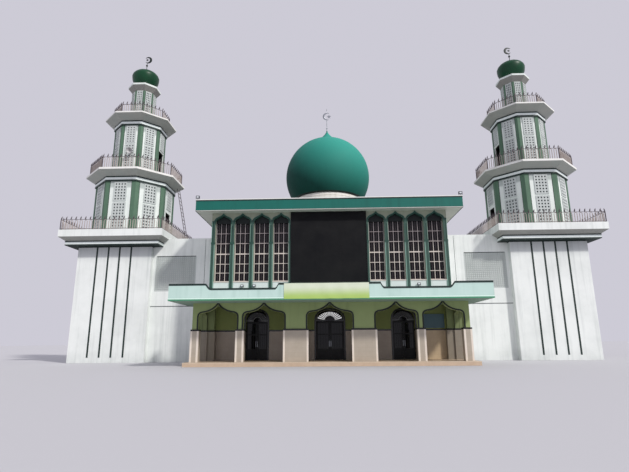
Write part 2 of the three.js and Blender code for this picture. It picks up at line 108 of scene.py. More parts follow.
# %% Sky, soft sun and a pale floor
world = bpy.data.worlds.new("pale_sky")
world.use_nodes = True
world.node_tree.nodes["Background"].inputs["Color"].default_value = linear("#E2E0EC")
world.node_tree.nodes["Background"].inputs["Strength"].default_value = 0.8
bpy.context.scene.world = world
bpy.context.scene.view_settings.view_transform = "Standard"
sun = bpy.data.objects.new("soft_sun", bpy.data.lights.new("soft_sun", "SUN"))
sun.data.energy = 2.6
sun.data.angle = math.radians(5)
sun.data.color = (1.0, 0.97, 0.93)
sun.rotation_euler = Vector((-1.0, 1.0, -1.17)).to_track_quat("-Z", "Y").to_euler()
bpy.context.scene.collection.objects.link(sun)
ground = bmesh.new()
bmesh.ops.create_grid(ground, x_segments=4, y_segments=4, size=150,
                      matrix=Matrix.Translation((0, 60, -0.004)))
floor_mesh = bpy.data.meshes.new("studio_floor")
ground.to_mesh(floor_mesh)
ground.free()
floor = bpy.data.objects.new("studio_floor", floor_mesh)
floor_paper = bpy.data.materials.new("floor_paper")
floor_paper.use_nodes = True
floor_paper.node_tree.nodes["Principled BSDF"].inputs["Base Color"].default_value = linear("#BEBEC2")
floor_paper.node_tree.nodes["Principled BSDF"].inputs["Roughness"].default_value = 0.9
floor_mesh.materials.append(floor_paper)
bpy.context.scene.collection.objects.link(floor)
print("sun turned to", tuple(round(c, 2) for c in sun.rotation_euler))

# %% [markdown]
# ## Painted render
# Most of this building is cement render under emulsion paint. Outdoors it gathers soft grey patches,
# rain streaks that run down from ledges, and a splash zone at the foot. Each is one noise, stretched
# to the real size of the mark: patches about 2 m wide, streaks 0.3 m wide and several metres long,
# and a float finish of about 3 mm that is too fine to show, so it is drawn at 25 mm.

# %% A recipe for painted walls
def wall_paint(name, colour, stain, amount=0.5, rough=0.82, foot=0.0, sheen_marks=0.08):
    material = bpy.data.materials.new(name)
    material.use_nodes = True
    tree = material.node_tree
    tree.nodes.clear()
    place = node(tree, "TexCoord").outputs["Object"]
    patches = node(tree, "TexNoise", {"Vector": place, "Scale": 0.5, "Detail": 5.0, "Roughness": 0.6})
    runs = node(tree, "Mapping", {"Vector": place, "Scale": (3.2, 3.2, 0.16)})
    streaks = node(tree, "TexNoise", {"Vector": runs.outputs[0], "Scale": 1.0, "Detail": 6.0,
                                      "Roughness": 0.62})
    soft = node(tree, "MapRange", {"Value": patches.outputs["Fac"], "From Min": 0.42, "From Max": 0.72,
                                   "To Max": 0.55 * amount})
    thin = node(tree, "MapRange", {"Value": streaks.outputs["Fac"], "From Min": 0.5, "From Max": 0.78,
                                   "To Max": 0.8 * amount})
    both = node(tree, "Math", {0: soft.outputs[0], 1: thin.outputs[0]}, operation="ADD", use_clamp=True)
    height = node(tree, "SeparateXYZ", {"Vector": place})
    splash = node(tree, "MapRange", {"Value": height.outputs["Z"], "From Min": 0.0, "From Max": 0.9,
                                     "To Min": foot, "To Max": 0.0})
    broken = node(tree, "Math", {0: splash.outputs[0], 1: patches.outputs["Fac"]}, operation="MULTIPLY")
    dirt = node(tree, "Math", {0: both.outputs[0], 1: broken.outputs[0]}, operation="ADD", use_clamp=True)
    paint = node(tree, "Mix", {0: dirt.outputs[0], 6: linear(colour), 7: linear(stain)}, data_type="RGBA")
    grain = node(tree, "TexNoise", {"Vector": place, "Scale": 40.0, "Detail": 3.0})
    bump = node(tree, "Bump", {"Height": grain.outputs["Fac"], "Strength": 0.25, "Distance": 0.006})
    dull = node(tree, "MapRange", {"Value": patches.outputs["Fac"], "From Min": 0.3, "From Max": 0.7,
                                   "To Min": rough - sheen_marks, "To Max": rough + sheen_marks})
    shader = node(tree, "BsdfPrincipled", {"Base Color": paint.outputs[2], "Roughness": dull.outputs[0],
                                           "Normal": bump.outputs[0]})
    node(tree, "OutputMaterial", {"Surface": shader.outputs[0]})
    return material, tree, shader, height


def dress(material, *names):
    for name in names:
        slots = solids[name].data.materials
        slots.clear()
        slots.append(material)


# %% [markdown]
# The wings, tower bases and outer walls are white emulsion that has greyed. The stages of the
# minarets have a little green in the white, and their corners are a sage green. All three come from
# the recipe, so the weather runs through them in the same way.

# %% White and sage emulsion
white_emulsion = wall_paint("white_emulsion_on_render", "#E9EDEA", "#9FA7A4", 0.42, foot=0.5)[0]
sage_emulsion = wall_paint("sage_green_emulsion", "#53735D", "#2E4A3C", 0.55, rough=0.7)[0]
band_emulsion = wall_paint("pale_band_emulsion", "#E8F0EE", "#A9B8B4", 0.35)[0]
dark_line = wall_paint("dark_green_line_enamel", "#0D2722", "#081A16", 0.5, rough=0.5)[0]
for side in ("left", "right"):
    dress(white_emulsion, f"wing_{side}", f"side_wall_{side}")
print("painted wings and side walls")

# %% [markdown]
# Some solids carry more than one paint: a balcony has a white edge and a bare grey underside, and a
# window wall has dark green reveals. The paint changes where the face turns, so the surface's own
# direction picks the colour. That keeps one clean line at each edge without cutting the solid. The
# rooms in the towers are unlit, so what lies nearer the tower's axis is painted dark as their shade,
# and a grey band of painted shade lies on the walls just under each balcony.

# %% Paint that changes with the face
TOWER_X, TOWER_Y = 15.5, 8.03


def lay_over(tree, shader, where, coat, **how):
    under = shader.inputs["Base Color"].links[0].from_socket
    mixed = node(tree, "Mix", {0: where, 6: under, 7: coat}, data_type="RGBA", **how)
    tree.links.new(mixed.outputs[2], shader.inputs["Base Color"])


def blotched(tree, colour, stain, size, detail, rough):
    cloud = node(tree, "TexNoise", {"Vector": node(tree, "TexCoord").outputs["Object"], "Scale": size,
                                    "Detail": detail, "Roughness": rough})
    return node(tree, "Mix", {0: cloud.outputs["Fac"], 6: linear(colour), 7: linear(stain)},
                data_type="RGBA").outputs[2]


def between(tree, value, low, high):
    return node(tree, "Math", {0: value, 1: (low + high) / 2, 2: (high - low) / 2},
                operation="COMPARE").outputs[0]


def add_by_direction(recipe, colour, axis, low, high, stain):
    tree, shader = recipe[1:3]
    turn = node(tree, "SeparateXYZ", {"Vector": node(tree, "NewGeometry").outputs["Normal"]})
    lay_over(tree, shader, between(tree, turn.outputs[axis], low, high),
             blotched(tree, colour, stain, 1.3, 6.0, 0.65))


def add_band(recipe, colour, stain, low, high):
    tree, shader, height = recipe[1:]
    lay_over(tree, shader, between(tree, height.outputs["Z"], low, high),
             blotched(tree, colour, stain, 2.0, 5.0, 0.6))


# Painted shade: everything nearer the tower's axis than reach is painted dark, for the unlit room.
def add_painted_dark_inside(recipe, reach, colour="#17191A"):
    tree, shader = recipe[1:3]
    apart = node(tree, "VectorMath", {0: node(tree, "TexCoord").outputs["Object"]}, operation="ABSOLUTE")
    for step, amount in (("SUBTRACT", (TOWER_X, TOWER_Y, 0.0)), ("MULTIPLY", (1.0, 1.0, 0.0))):
        apart = node(tree, "VectorMath", {0: apart.outputs[0], 1: amount}, operation=step)
    apart = node(tree, "VectorMath", {0: apart.outputs[0]}, operation="LENGTH")
    within = node(tree, "Math", {0: apart.outputs["Value"], 1: reach}, operation="LESS_THAN")
    lay_over(tree, shader, within.outputs[0], linear(colour))


# Paints a grey band of painted shade that fades in from low to high and stops at end.
def add_painted_shade_below(recipe, colour, low, high, most, end=99.0):
    tree, shader, height = recipe[1:]
    much = node(tree, "MapRange", {"Value": height.outputs["Z"], "From Min": low, "From Max": high,
                                   "To Max": most}, interpolation_type="SMOOTHSTEP")
    below = node(tree, "Math", {0: height.outputs["Z"], 1: end}, operation="LESS_THAN")
    much = node(tree, "Math", {0: much.outputs[0], 1: below.outputs[0]}, operation="MULTIPLY")
    lay_over(tree, shader, much.outputs[0], linear(colour))


# %% [markdown]
# The two lower stages are hollow and get the painted dark of their rooms and the painted shade under
# their balconies, and the cap has a room of its own. The towers' bases have a grey underside to their
# platform, painted shade on the wall below its step, and a dark line under the step.

# %% Paints that change, and the solids that get them
STAGE_EAVES = (13.19, 18.20)
DOWN, UP = (-1.0, -0.05), (0.5, 1.0)
stage_paints = []
for k, (eaves, room) in enumerate(zip(STAGE_EAVES, (2.69, 1.79)), 1):
    stage_paints.append(wall_paint(f"tower_stage_{k}_emulsion", "#E6EDE8", "#A8B3AC", 0.4))
    # Painted shade: the unlit rooms inside the stage are dark.
    add_painted_dark_inside(stage_paints[-1], room)
    # Painted shade: a grey band on the wall just under each balcony.
    add_painted_shade_below(stage_paints[-1], "#8B9795", eaves - 0.62, eaves - 0.4, 0.6)
balcony_paint = wall_paint("balcony_edge_emulsion", "#ECECE8", "#B5B2A8", 0.4)
add_by_direction(balcony_paint, "#B0AEA6", "Z", *DOWN, "#9AA39E")
add_by_direction(balcony_paint, "#A39F94", "Z", 0.6, 1.0, "#84807A")
base_paint = wall_paint("tower_base_emulsion", "#E9EDEA", "#9FA7A4", 0.42, foot=0.5)
add_by_direction(base_paint, "#A5A6A1", "Z", *DOWN, "#91928C")
# Painted shade: a grey band on the base wall under the platform's step.
add_painted_shade_below(base_paint, "#8B919A", 6.9, 7.8, 0.4, end=8.15)
add_band(base_paint, "#142A25", "#0C1D1A", 8.1, 8.17)
cap_paint = wall_paint("tower_cap_emulsion", "#E6EDE8", "#A8B3AC", 0.4)
# Painted shade: the cap's unlit room is dark.
add_painted_dark_inside(cap_paint, 0.84)
add_by_direction(cap_paint, "#9C9C97", "Z", *DOWN, "#85857F")
# Painted shade: the window wall's grey-green is its paint darkened for the shade under the roof's overhang.
window_wall = wall_paint("shade_darkened_window_wall_emulsion", "#999E8C", "#7A8072", 0.5)
for turned_to in ((-1.0, -0.3), (0.3, 1.0)):
    add_by_direction(window_wall, "#1F5346", "X", *turned_to, "#16392F")
canopy_paint = wall_paint("canopy_emulsion", "#C2DCD4", "#93B6AA", 0.42)
# Painted shade: the canopy's underside is a darker grey-green for the shade under it.
add_by_direction(canopy_paint, "#8FA898", "Z", -1.0, -0.5, "#728B78")
roof_paint = wall_paint("fascia_enamel", "#15675C", "#104A42", 0.5, rough=0.5)
roof_paint[2].inputs["Specular IOR Level"].default_value = 0.3
add_by_direction(roof_paint, "#C9CAC0", "Z", -1.0, -0.5, "#AEB0A4")
add_by_direction(roof_paint, "#8E8E88", "Z", *UP, "#77776F")
for side in ("left", "right"):
    for k, recipe in enumerate(stage_paints, 1):
        dress(recipe[0], f"minaret_{side}_stage_{k}")
    dress(base_paint[0], f"minaret_{side}_base")
    dress(cap_paint[0], f"minaret_{side}_stage_3")
    dress(balcony_paint[0], f"minaret_{side}_balcony_2", f"minaret_{side}_balcony_3")
dress(window_wall[0], "front_wall_upper")
dress(canopy_paint[0], "canopy")
dress(roof_paint[0], "hall_roof")
dress(white_emulsion, "rear_wall")
dress(balcony_paint[0], "upper_floor_slab")
print("painted balconies, canopy, roof and window wall")

# %% [markdown]
# ## Porch walls
# Inside the porch the walls are a soft green above a tiled dado two metres high, with a black
# border course on top of it. The dado is glazed wall tile in a warm stone colour. The paint changes
# at two heights, so here the height picks the colour. The tiles' joints, about 3 mm wide, would not
# show at this distance, so they are drawn at 8 mm. What stands behind the front piers is painted
# darker as shade under the canopy, the wall at the back is painted darker still as its shade, and
# the back wall's right end is painted lighter and warmer as a patch of afternoon sunlight.

# %% Green paint over a tiled dado
DADO_TOP = 1.975


def porch_wall(name, paint, paint_stain, tile, tile_stain, veil="#FFFFFF"):
    recipe = wall_paint(name, paint, paint_stain, 0.45, rough=0.75)
    add_band(recipe, tile, tile_stain, 0.2, DADO_TOP)
    add_band(recipe, "#0D0F10", "#17191A", DADO_TOP, 2.061)
    material, tree, shader, height = recipe
    flat = node(tree, "Mapping", {"Vector": node(tree, "TexCoord").outputs["Object"],
                                  "Rotation": (math.pi / 2, 0, 0)})
    tiles = node(tree, "TexBrick", {"Vector": flat.outputs[0], "Scale": 1.0, "Mortar Size": 0.004,
                                    "Brick Width": 0.4, "Row Height": 0.25, "Color1": (1, 1, 1, 1),
                                    "Color2": (0.96, 0.96, 0.96, 1), "Mortar": (0.86, 0.84, 0.82, 1)},
                 offset=0.0)
    low = node(tree, "Math", {0: height.outputs["Z"], 1: DADO_TOP - 0.005}, operation="LESS_THAN")
    lay_over(tree, shader, low.outputs[0], tiles.outputs["Color"], blend_type="MULTIPLY")
    # Painted shade: deeper than 0.42 m into the porch the colour is multiplied by the veil tint.
    behind = node(tree, "Math", {0: height.outputs["Y"], 1: 0.42}, operation="GREATER_THAN")
    lay_over(tree, shader, behind.outputs[0], linear(veil), blend_type="MULTIPLY")
    glazed = node(tree, "MapRange", {"Value": low.outputs[0], "To Min": 0.75, "To Max": 0.32})
    tree.links.new(glazed.outputs[0], shader.inputs["Roughness"])
    return material


# Painted shade on what stands behind the front piers, through the veil tint.
dress(porch_wall("porch_green_emulsion", "#94A36E", "#738558", "#BBB1A2", "#A69B8C", veil="#CDCDCB"),
      "arcade_front", "arcade_side_left", "arcade_side_right")
# Painted shade: a darker copy of the porch paint and tile for the back wall.
dress(porch_wall("shaded_porch_emulsion", "#78834A", "#5C6A3A", "#A89B8C", "#8E8276"), "front_wall_end_left",
      "front_wall_pier_left", "front_wall_pier_right", "front_wall_over_doors")
# Painted light: a lighter, warmer copy of the porch paint for the sunlit right end of the back wall.
dress(porch_wall("painted_sunlight_porch_emulsion", "#8F9650", "#727C42", "#CDB898", "#B29E80"), "front_wall_end_right")

# %% [markdown]
# ## Floor, boards and enamel
# The porch floor is a warm ceramic tile, the sign board and notice board are painted sheet, and the
# doors are dark enamelled aluminium. These are smoother than wall paint: what tells them apart is
# mostly how tightly they reflect, so each gets its own roughness and a faint cloud of dust.

# %% Smooth finishes
def coated(name, colour, dust, rough, metallic=0.0, cloud=0.35, size=1.5, ripple=0.15, **shell):
    material = bpy.data.materials.new(name)
    material.use_nodes = True
    tree = material.node_tree
    tree.nodes.clear()
    place = node(tree, "TexCoord").outputs["Object"]
    veil = node(tree, "TexNoise", {"Vector": place, "Scale": size, "Detail": 6.0, "Roughness": 0.62})
    much = node(tree, "MapRange", {"Value": veil.outputs["Fac"], "From Min": 0.4, "From Max": 0.75,
                                   "To Max": cloud})
    paint = node(tree, "Mix", {0: much.outputs[0], 6: linear(colour), 7: linear(dust)}, data_type="RGBA")
    gloss = node(tree, "MapRange", {"Value": veil.outputs["Fac"], "From Min": 0.3, "From Max": 0.7,
                                    "To Min": rough * 0.85, "To Max": min(1.0, rough * 1.25)})
    waves = node(tree, "TexNoise", {"Vector": place, "Scale": 14.0, "Detail": 3.0})
    bump = node(tree, "Bump", {"Height": waves.outputs["Fac"], "Strength": ripple, "Distance": 0.004})
    shader = node(tree, "BsdfPrincipled", {"Base Color": paint.outputs[2], "Roughness": gloss.outputs[0],
                                           "Metallic": metallic, "Normal": bump.outputs[0], **shell})
    node(tree, "OutputMaterial", {"Surface": shader.outputs[0]})
    return material


def fade_by_height(material, colour, z0, z1, least, most):
    tree = material.node_tree
    shader = next(n for n in tree.nodes if n.type == "BSDF_PRINCIPLED")
    tall = node(tree, "SeparateXYZ", {"Vector": node(tree, "TexCoord").outputs["Object"]})
    much = node(tree, "MapRange", {"Value": tall.outputs["Z"], "From Min": z0, "From Max": z1,
                                   "To Min": least, "To Max": most}, interpolation_type="SMOOTHSTEP")
    lay_over(tree, shader, much.outputs[0], linear(colour))


floor_tile = coated("warm_ceramic_floor", "#C8B199", "#A28B72", 0.35, size=2.2)
step_tile = coated("pale_step_nosing", "#D3C2AB", "#AF997F", 0.4, size=3.0)
sign_sheet = coated("black_sign_sheet", "#08080B", "#121318", 0.75, cloud=0.5, size=0.9,
                    **{"Specular IOR Level": 0.25})
board_sheet = coated("notice_board_sheet", "#45606B", "#5A737A", 0.55)
door_enamel = coated("black_door_enamel", "#07080A", "#17191B", 0.35, cloud=0.3, size=3.0,
                     **{"Specular IOR Level": 0.25})
dark_glass = coated("smoked_window_glass", "#0B0A0E", "#191820", 0.1, cloud=0.4, size=0.7, ripple=0.05,
                    **{"Specular IOR Level": 0.28})
bar_paint = coated("window_bar_oil_paint", "#D3C8C0", "#A3978F", 0.5, cloud=0.5, size=2.0)
# Painted shade: the bars are darker towards the top, under the roof's overhang.
fade_by_height(bar_paint, "#7F757A", 7.2, 8.0, 0.0, 0.85)
black_trim = coated("black_border_glaze", "#0B0C0E", "#1B1C1E", 0.25)
window_green = coated("window_surround_enamel", "#2B4C42", "#1B352E", 0.5, cloud=0.6, size=1.1)
reveal_green = coated("window_reveal_enamel", "#1B473C", "#112F28", 0.55, cloud=0.5)
# The head panel is dark green paint, darkened to near-black as painted shade in the recessed head.
head_panel = coated("window_head_panel", "#121A1A", "#1E2626", 0.5, cloud=0.5, **{"Specular IOR Level": 0.3})
pale_green_edge = coated("pale_green_edge_enamel", "#74968A", "#4F6C60", 0.55, cloud=0.5)
rail_paint = coated("railing_cream_oil_paint", "#B3A8A2", "#6F6460", 0.5, cloud=0.5, size=2.5)
rail_dark = coated("railing_dark_oil_paint", "#51464B", "#33292E", 0.5, cloud=0.5, size=2.5)
lamp_glass = coated("lamp_front_glass", "#DCE2E6", "#B6BDC2", 0.1)
ladder_paint = coated("ladder_steel_paint", "#615A5D", "#453F42", 0.55, size=3.0)
dress(floor_tile, "ground_floor_slab")
dress(sign_sheet, "front_sign_board")
dress(board_sheet, "notice_board")
dress(dark_glass, "upper_window_glass", "fanlight_left", "fanlight_centre", "fanlight_right")
dress(ladder_paint, "roof_ladder")
print(len(bpy.data.materials), "materials so far")

# %% [markdown]
# ## Shapes from a few moves
# Nearly every trim here is a bar, a cut-out plate, a strip between two outlines or a turned form.
# Each could be typed in as a list of corners, but operators are shorter and keep shells closed: a
# cube is stretched into a bar, a face is extruded into a plate, two edge chains are bridged into a
# strip, and a profile is spun. Every helper adds to one mesh, so a hundred bars are still one piece.

# %% Bars, plates, strips and turned forms
def paint_faces(verts, finish):
    for face in {f for v in verts for f in v.link_faces}:
        face.material_index = finish


def bar(bm, x0, x1, y0, y1, z0, z1, finish=0):
    spot = Matrix.Translation(((x0 + x1) / 2, (y0 + y1) / 2, (z0 + z1) / 2))
    size = Matrix.Diagonal((abs(x1 - x0), abs(y1 - y0), abs(z1 - z0), 1))
    made = bmesh.ops.create_cube(bm, size=1, matrix=spot @ size)["verts"]
    paint_faces(made, finish)
    return made


def thicken(bm, faces, y0, y1, finish=0):
    for face in faces:
        face.material_index = finish
    grown = bmesh.ops.extrude_face_region(bm, geom=faces)["geom"]
    far = [v for v in grown if isinstance(v, bmesh.types.BMVert)]
    bmesh.ops.translate(bm, vec=(0, y1 - y0, 0), verts=far)


def plate(bm, rim, y0, y1, finish=0):
    face = bm.faces.new([bm.verts.new((x, y0, z)) for x, z in rim])
    thicken(bm, [face], y0, y1, finish)


def strip(bm, inner, outer, y0, y1, finish=0):
    edges = []
    for chain in (inner, outer):
        dots = [bm.verts.new((x, y0, z)) for x, z in chain]
        edges += [bm.edges.new(pair) for pair in zip(dots, dots[1:])]
    thicken(bm, bmesh.ops.bridge_loops(bm, edges=edges)["faces"], y0, y1, finish)


def turned(bm, profile, steps, centre=(0, 0), turn=0.0, finish=0, closed=False):
    first = Matrix.Translation((centre[0], centre[1], 0)) @ Matrix.Rotation(turn, 4, "Z")
    dots = [bm.verts.new(first @ Vector((r, 0, z))) for r, z in profile]
    pairs = list(zip(dots, dots[1:])) + ([(dots[-1], dots[0])] if closed else [])
    edges = [bm.edges.new(pair) for pair in pairs]
    known = set(bm.faces)
    bmesh.ops.spin(bm, geom=dots + edges, cent=(centre[0], centre[1], 0), axis=(0, 0, 1), dvec=(0, 0, 0),
                   angle=math.tau, steps=steps, use_merge=True, use_duplicate=False)
    fresh = [f for f in bm.faces if f not in known]
    for face in fresh:
        face.material_index = finish
    bmesh.ops.remove_doubles(bm, verts=list({v for f in fresh for v in f.verts}), dist=1e-5)


def make_piece(name, bm, finishes, body="building", smooth=None):
    loose = sum(1 for e in bm.edges if not e.is_manifold)
    bmesh.ops.recalc_face_normals(bm, faces=bm.faces)
    mesh = bpy.data.meshes.new(name)
    bm.to_mesh(mesh)
    bm.free()
    for finish in finishes:
        mesh.materials.append(finish)
    if smooth:
        mesh.polygons.foreach_set("use_smooth", [True] * len(mesh.polygons))
        mesh.set_sharp_from_angle(angle=math.radians(smooth))
    piece = bpy.data.objects.new(name, mesh)
    bpy.context.scene.collection.objects.link(piece)
    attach(piece, body)
    print(name, len(mesh.polygons), "faces", loose, "open edges")
    return piece


# %% [markdown]
# ## The main dome
# It is a thin concrete shell, a true sphere cut off where it meets the drum and drawn up into a
# short cusp at the top, under a dull teal enamel. The side that faces the sun is painted a paler
# teal as painted light, mixed in by the angle between the surface and the midday sun. The sphere's
# profile is spun in 96 steps, so the outline stays round at any size, and it turns in under its dark
# lip to an inner skin, as a cast shell does.

# %% Dome skin
DOME = (0, 11.0)
DOME_R, DOME_MID, DRUM_TOP = 3.59, 15.15, 13.04


def arc(radius, mid, start, end, steps):
    return [(radius * math.cos(a), mid + radius * math.sin(a))
            for a in (start + (end - start) * i / steps for i in range(steps + 1))]


lip = math.asin((DRUM_TOP - DOME_MID) / DOME_R)
lip_top = math.asin((DRUM_TOP + 0.08 - DOME_MID) / DOME_R)
cusp = [(0.9, 18.635), (0.8, 18.69), (0.7, 18.775), (0.6, 18.88), (0.52, 18.965), (0.42, 19.06), (0.33, 19.16),
        (0.24, 19.26), (0.165, 19.365), (0.1, 19.47), (0.06, 19.57), (0.05, 19.7), (0, 19.7)]
outside = (arc(DOME_R, DOME_MID, lip, lip_top, 1)
           + arc(DOME_R, DOME_MID, lip_top, math.acos(1.0 / DOME_R), 44)[1:] + cusp)
inside = [(0.0, DOME_MID + 3.47)] + arc(3.47, DOME_MID, 1.5, -0.6, 16)
bm = bmesh.new()
turned(bm, inside + [(2.78, DRUM_TOP)] + outside, 96, DOME)
for face in bm.faces:
    if face.calc_center_median().z < DRUM_TOP + 0.05:
        face.material_index = 1
dome_enamel = wall_paint("teal_dome_enamel", "#0F463E", "#0B332C", 0.45, rough=0.7, sheen_marks=0.06)
tree, shader = dome_enamel[1:3]
shader.inputs["Specular IOR Level"].default_value = 0.2
# Painted light: the teal is mixed paler on the side facing the sun.
toward = node(tree, "VectorMath", {0: node(tree, "NewGeometry").outputs["Normal"], 1: (0.45, -0.3, 0.84)},
              operation="DOT_PRODUCT")
painted_sunlit_side = node(tree, "MapRange", {"Value": toward.outputs["Value"], "From Min": -0.25, "From Max": 0.95})
lay_over(tree, shader, painted_sunlit_side.outputs[0], linear("#35998A"))
dome_skin = make_piece("main_dome_skin", bm, [dome_enamel[0], dark_line], smooth=40)
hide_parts("main_dome")

# %% [markdown]
# The drum under the dome is a plain white ring. Only its top is seen over the roof, with soft grey
# stains and streaks. A short round-over at its top edge catches the light.

# %% Drum
bm = bmesh.new()
turned(bm, [(2.57, 9.964), (2.57, 13.03), (2.79, 13.03), (2.815, 13.01), (2.82, 12.98), (2.82, 12.86),
            (2.84, 12.84), (2.84, 12.78), (2.82, 12.76), (2.82, 9.964)], 96, DOME, closed=True)
drum_paint = wall_paint("drum_emulsion", "#ECE9E2", "#B4AEA2", 0.6)[0]
drum = make_piece("dome_drum_ring", bm, [drum_paint], smooth=30)
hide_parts("dome_drum")

# %% [markdown]
# ## Crescents
# The finials are bent and welded metal: a pole with one or two spun balls, and a crescent on top.
# The large one is bright stainless steel with a star in the crescent's mouth and a small spire,
# the two on the minarets are dark. A crescent is one outline, extruded and given a soft bevel.

# %% Crescent, star and pole
def crescent(bm, x, y, z, radius, width, thick, opens, finish=0, mouth=36):
    gap, steps = math.radians(mouth), 22
    sweep = [gap + (math.tau - 2 * gap) * i / steps for i in range(steps + 1)]
    outer = [(x + opens * radius * math.cos(a), z + radius * math.sin(a)) for a in sweep]
    inner = [(x + opens * (radius - width * math.sin(math.pi * i / steps) - 0.004) * math.cos(a),
              z + (radius - width * math.sin(math.pi * i / steps) - 0.004) * math.sin(a))
             for i, a in enumerate(sweep)]
    known = set(bm.edges)
    strip(bm, inner, outer, y - thick / 2, y + thick / 2, finish)
    rims = [e for e in bm.edges if e not in known and e.is_manifold and e.calc_face_angle(0) > 1.0]
    bmesh.ops.bevel(bm, geom=rims, offset=thick * 0.22, segments=2, profile=0.5, affect="EDGES", material=-1)


def star(bm, x, y, z, radius, thick, finish=0):
    rim = [(x + r * math.sin(math.pi * i / 5), z + r * math.cos(math.pi * i / 5))
           for i in range(10) for r in [radius if i % 2 == 0 else radius * 0.42]]
    plate(bm, rim, y - thick / 2, y + thick / 2, finish)


def pole(bm, centre, foot, top, radius, balls, finish=0, steps=20):
    profile = [(0, foot), (radius * 1.8, foot), (radius * 1.6, foot + 0.03), (radius, foot + 0.07)]
    for z, r in balls:
        profile += [(max(r * math.cos(a), radius), z + r * math.sin(a))
                    for a in (-1.25 + 0.25 * i for i in range(11))]
    profile += [(radius, top), (0, top)]
    turned(bm, profile, steps, centre, finish=finish)


bright_steel = coated("polished_stainless_steel", "#A4A8AE", "#6C7077", 0.34, metallic=1.0, cloud=0.6, size=4.0)
dark_steel = coated("dark_painted_steel", "#1A2522", "#2C3834", 0.5, size=5.0)
bm = bmesh.new()
pole(bm, DOME, 19.66, 20.76, 0.032, [(19.9, 0.075)])
crescent(bm, 0, DOME[1], 21.08, 0.356, 0.17, 0.06, 1, mouth=58)
star(bm, 0.2, DOME[1], 21.06, 0.2, 0.035)
pole(bm, DOME, 21.4, 21.6, 0.02, [])
turned(bm, [(0, 21.55), (0.03, 21.55), (0.0, 21.9)], 12, DOME)
finial = make_piece("main_finial", bm, [bright_steel], smooth=35)
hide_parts("dome_finial")

# %% [markdown]
# ## The minarets' small domes
# Each is a flattened onion on a short neck, made of thin sheet in 24 gores under a deep gloss green.
# Its flank is a few measured points and its crown is close to an ellipse. The gores
# show as very shallow ribs, so after the spin every other meridian is drawn in by a few millimetres.

# %% Small domes and their crescents
TOWERS = {"left": (-TOWER_X, TOWER_Y), "right": (TOWER_X, TOWER_Y)}
gloss_green = coated("gloss_green_dome_enamel", "#0B4429", "#08301E", 0.36, cloud=0.8, size=1.4,
                     **{"Specular IOR Level": 0.3})
BULB_FOOT, BULB_BELLY, BULB_TOP = 22.352, 23.43, 24.11
MERIDIANS = 48
flank = [(0.7, BULB_FOOT), (0.7, 22.583), (0.847, 22.73), (0.978, 22.93), (1.055, 23.13)]
crown = [(1.098 * math.cos(a) ** 1.03, BULB_BELLY + 0.68 * math.sin(a) ** 1.03)
         for a in (math.pi / 2 * i / 16 for i in range(16))]
for side, spot in TOWERS.items():
    bm = bmesh.new()
    turned(bm, [(0, BULB_FOOT)] + flank + crown + [(0.0, BULB_TOP)], MERIDIANS, spot)
    for v in bm.verts:
        away = Vector((v.co.x - spot[0], v.co.y - spot[1]))
        if away.length > 0.03 and round(math.atan2(away.y, away.x) / (math.tau / MERIDIANS)) % 2:
            v.co.x, v.co.y = spot[0] + away.x * 0.988, spot[1] + away.y * 0.988
    bulb_piece = make_piece(f"{side}_tower_bulb", bm, [gloss_green], smooth=50)
    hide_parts(f"minaret_{side}_dome")
    bm = bmesh.new()
    pole(bm, spot, 24.09, 24.96, 0.022, [(24.7, 0.085)], steps=16)
    opens = -1 if side == "left" else 1
    crescent(bm, spot[0] - 0.1 * opens, spot[1], 25.24, 0.31, 0.19, 0.05, opens)
    star(bm, spot[0], spot[1], 25.25, 0.13, 0.03)
    moon = make_piece(f"{side}_tower_crescent", bm, [dark_steel], smooth=35)
    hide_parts(f"minaret_{side}_finial")

# %% [markdown]
# ## Tower faces
# Every face of a stage is the same: a white panel between two sage corner strips, with pierced
# cement screens set one above the other, and a cornice of one pale band between two dark lines. It
# is modelled once on the side towards the street, then turned to the other seven. The screens are a
# grid whose cells are inset and opened, which is how such a block is cast.

# %% Pierced screens and corner strips
def pierced(bm, columns, rows, x0, x1, z0, z1, y, thick, web, finish=0):
    lie = (Matrix.Translation(((x0 + x1) / 2, y, (z0 + z1) / 2)) @ Matrix.Rotation(math.pi / 2, 4, "X")
           @ Matrix.Diagonal((x1 - x0, z1 - z0, 1, 1)))
    known = set(bm.faces)
    bmesh.ops.create_grid(bm, x_segments=columns, y_segments=rows, size=0.5, matrix=lie)
    cells = [f for f in bm.faces if f not in known]
    webs = bmesh.ops.inset_individual(bm, faces=cells, thickness=web / 2, depth=0,
                                      use_even_offset=True)["faces"]
    bmesh.ops.delete(bm, geom=cells, context="FACES")
    thicken(bm, webs, y, y - thick, finish)


def place_new(bm, known, matrix):
    bmesh.ops.transform(bm, matrix=matrix, verts=[v for v in bm.verts if v not in known])


def around(bm, build, spot, sides=8, skip=()):
    for k in range(sides):
        if k in skip:
            continue
        known = set(bm.verts)
        build(bm, k)
        place_new(bm, known, Matrix.Translation((*spot, 0)) @ Matrix.Rotation(math.tau * k / sides, 4, "Z"))


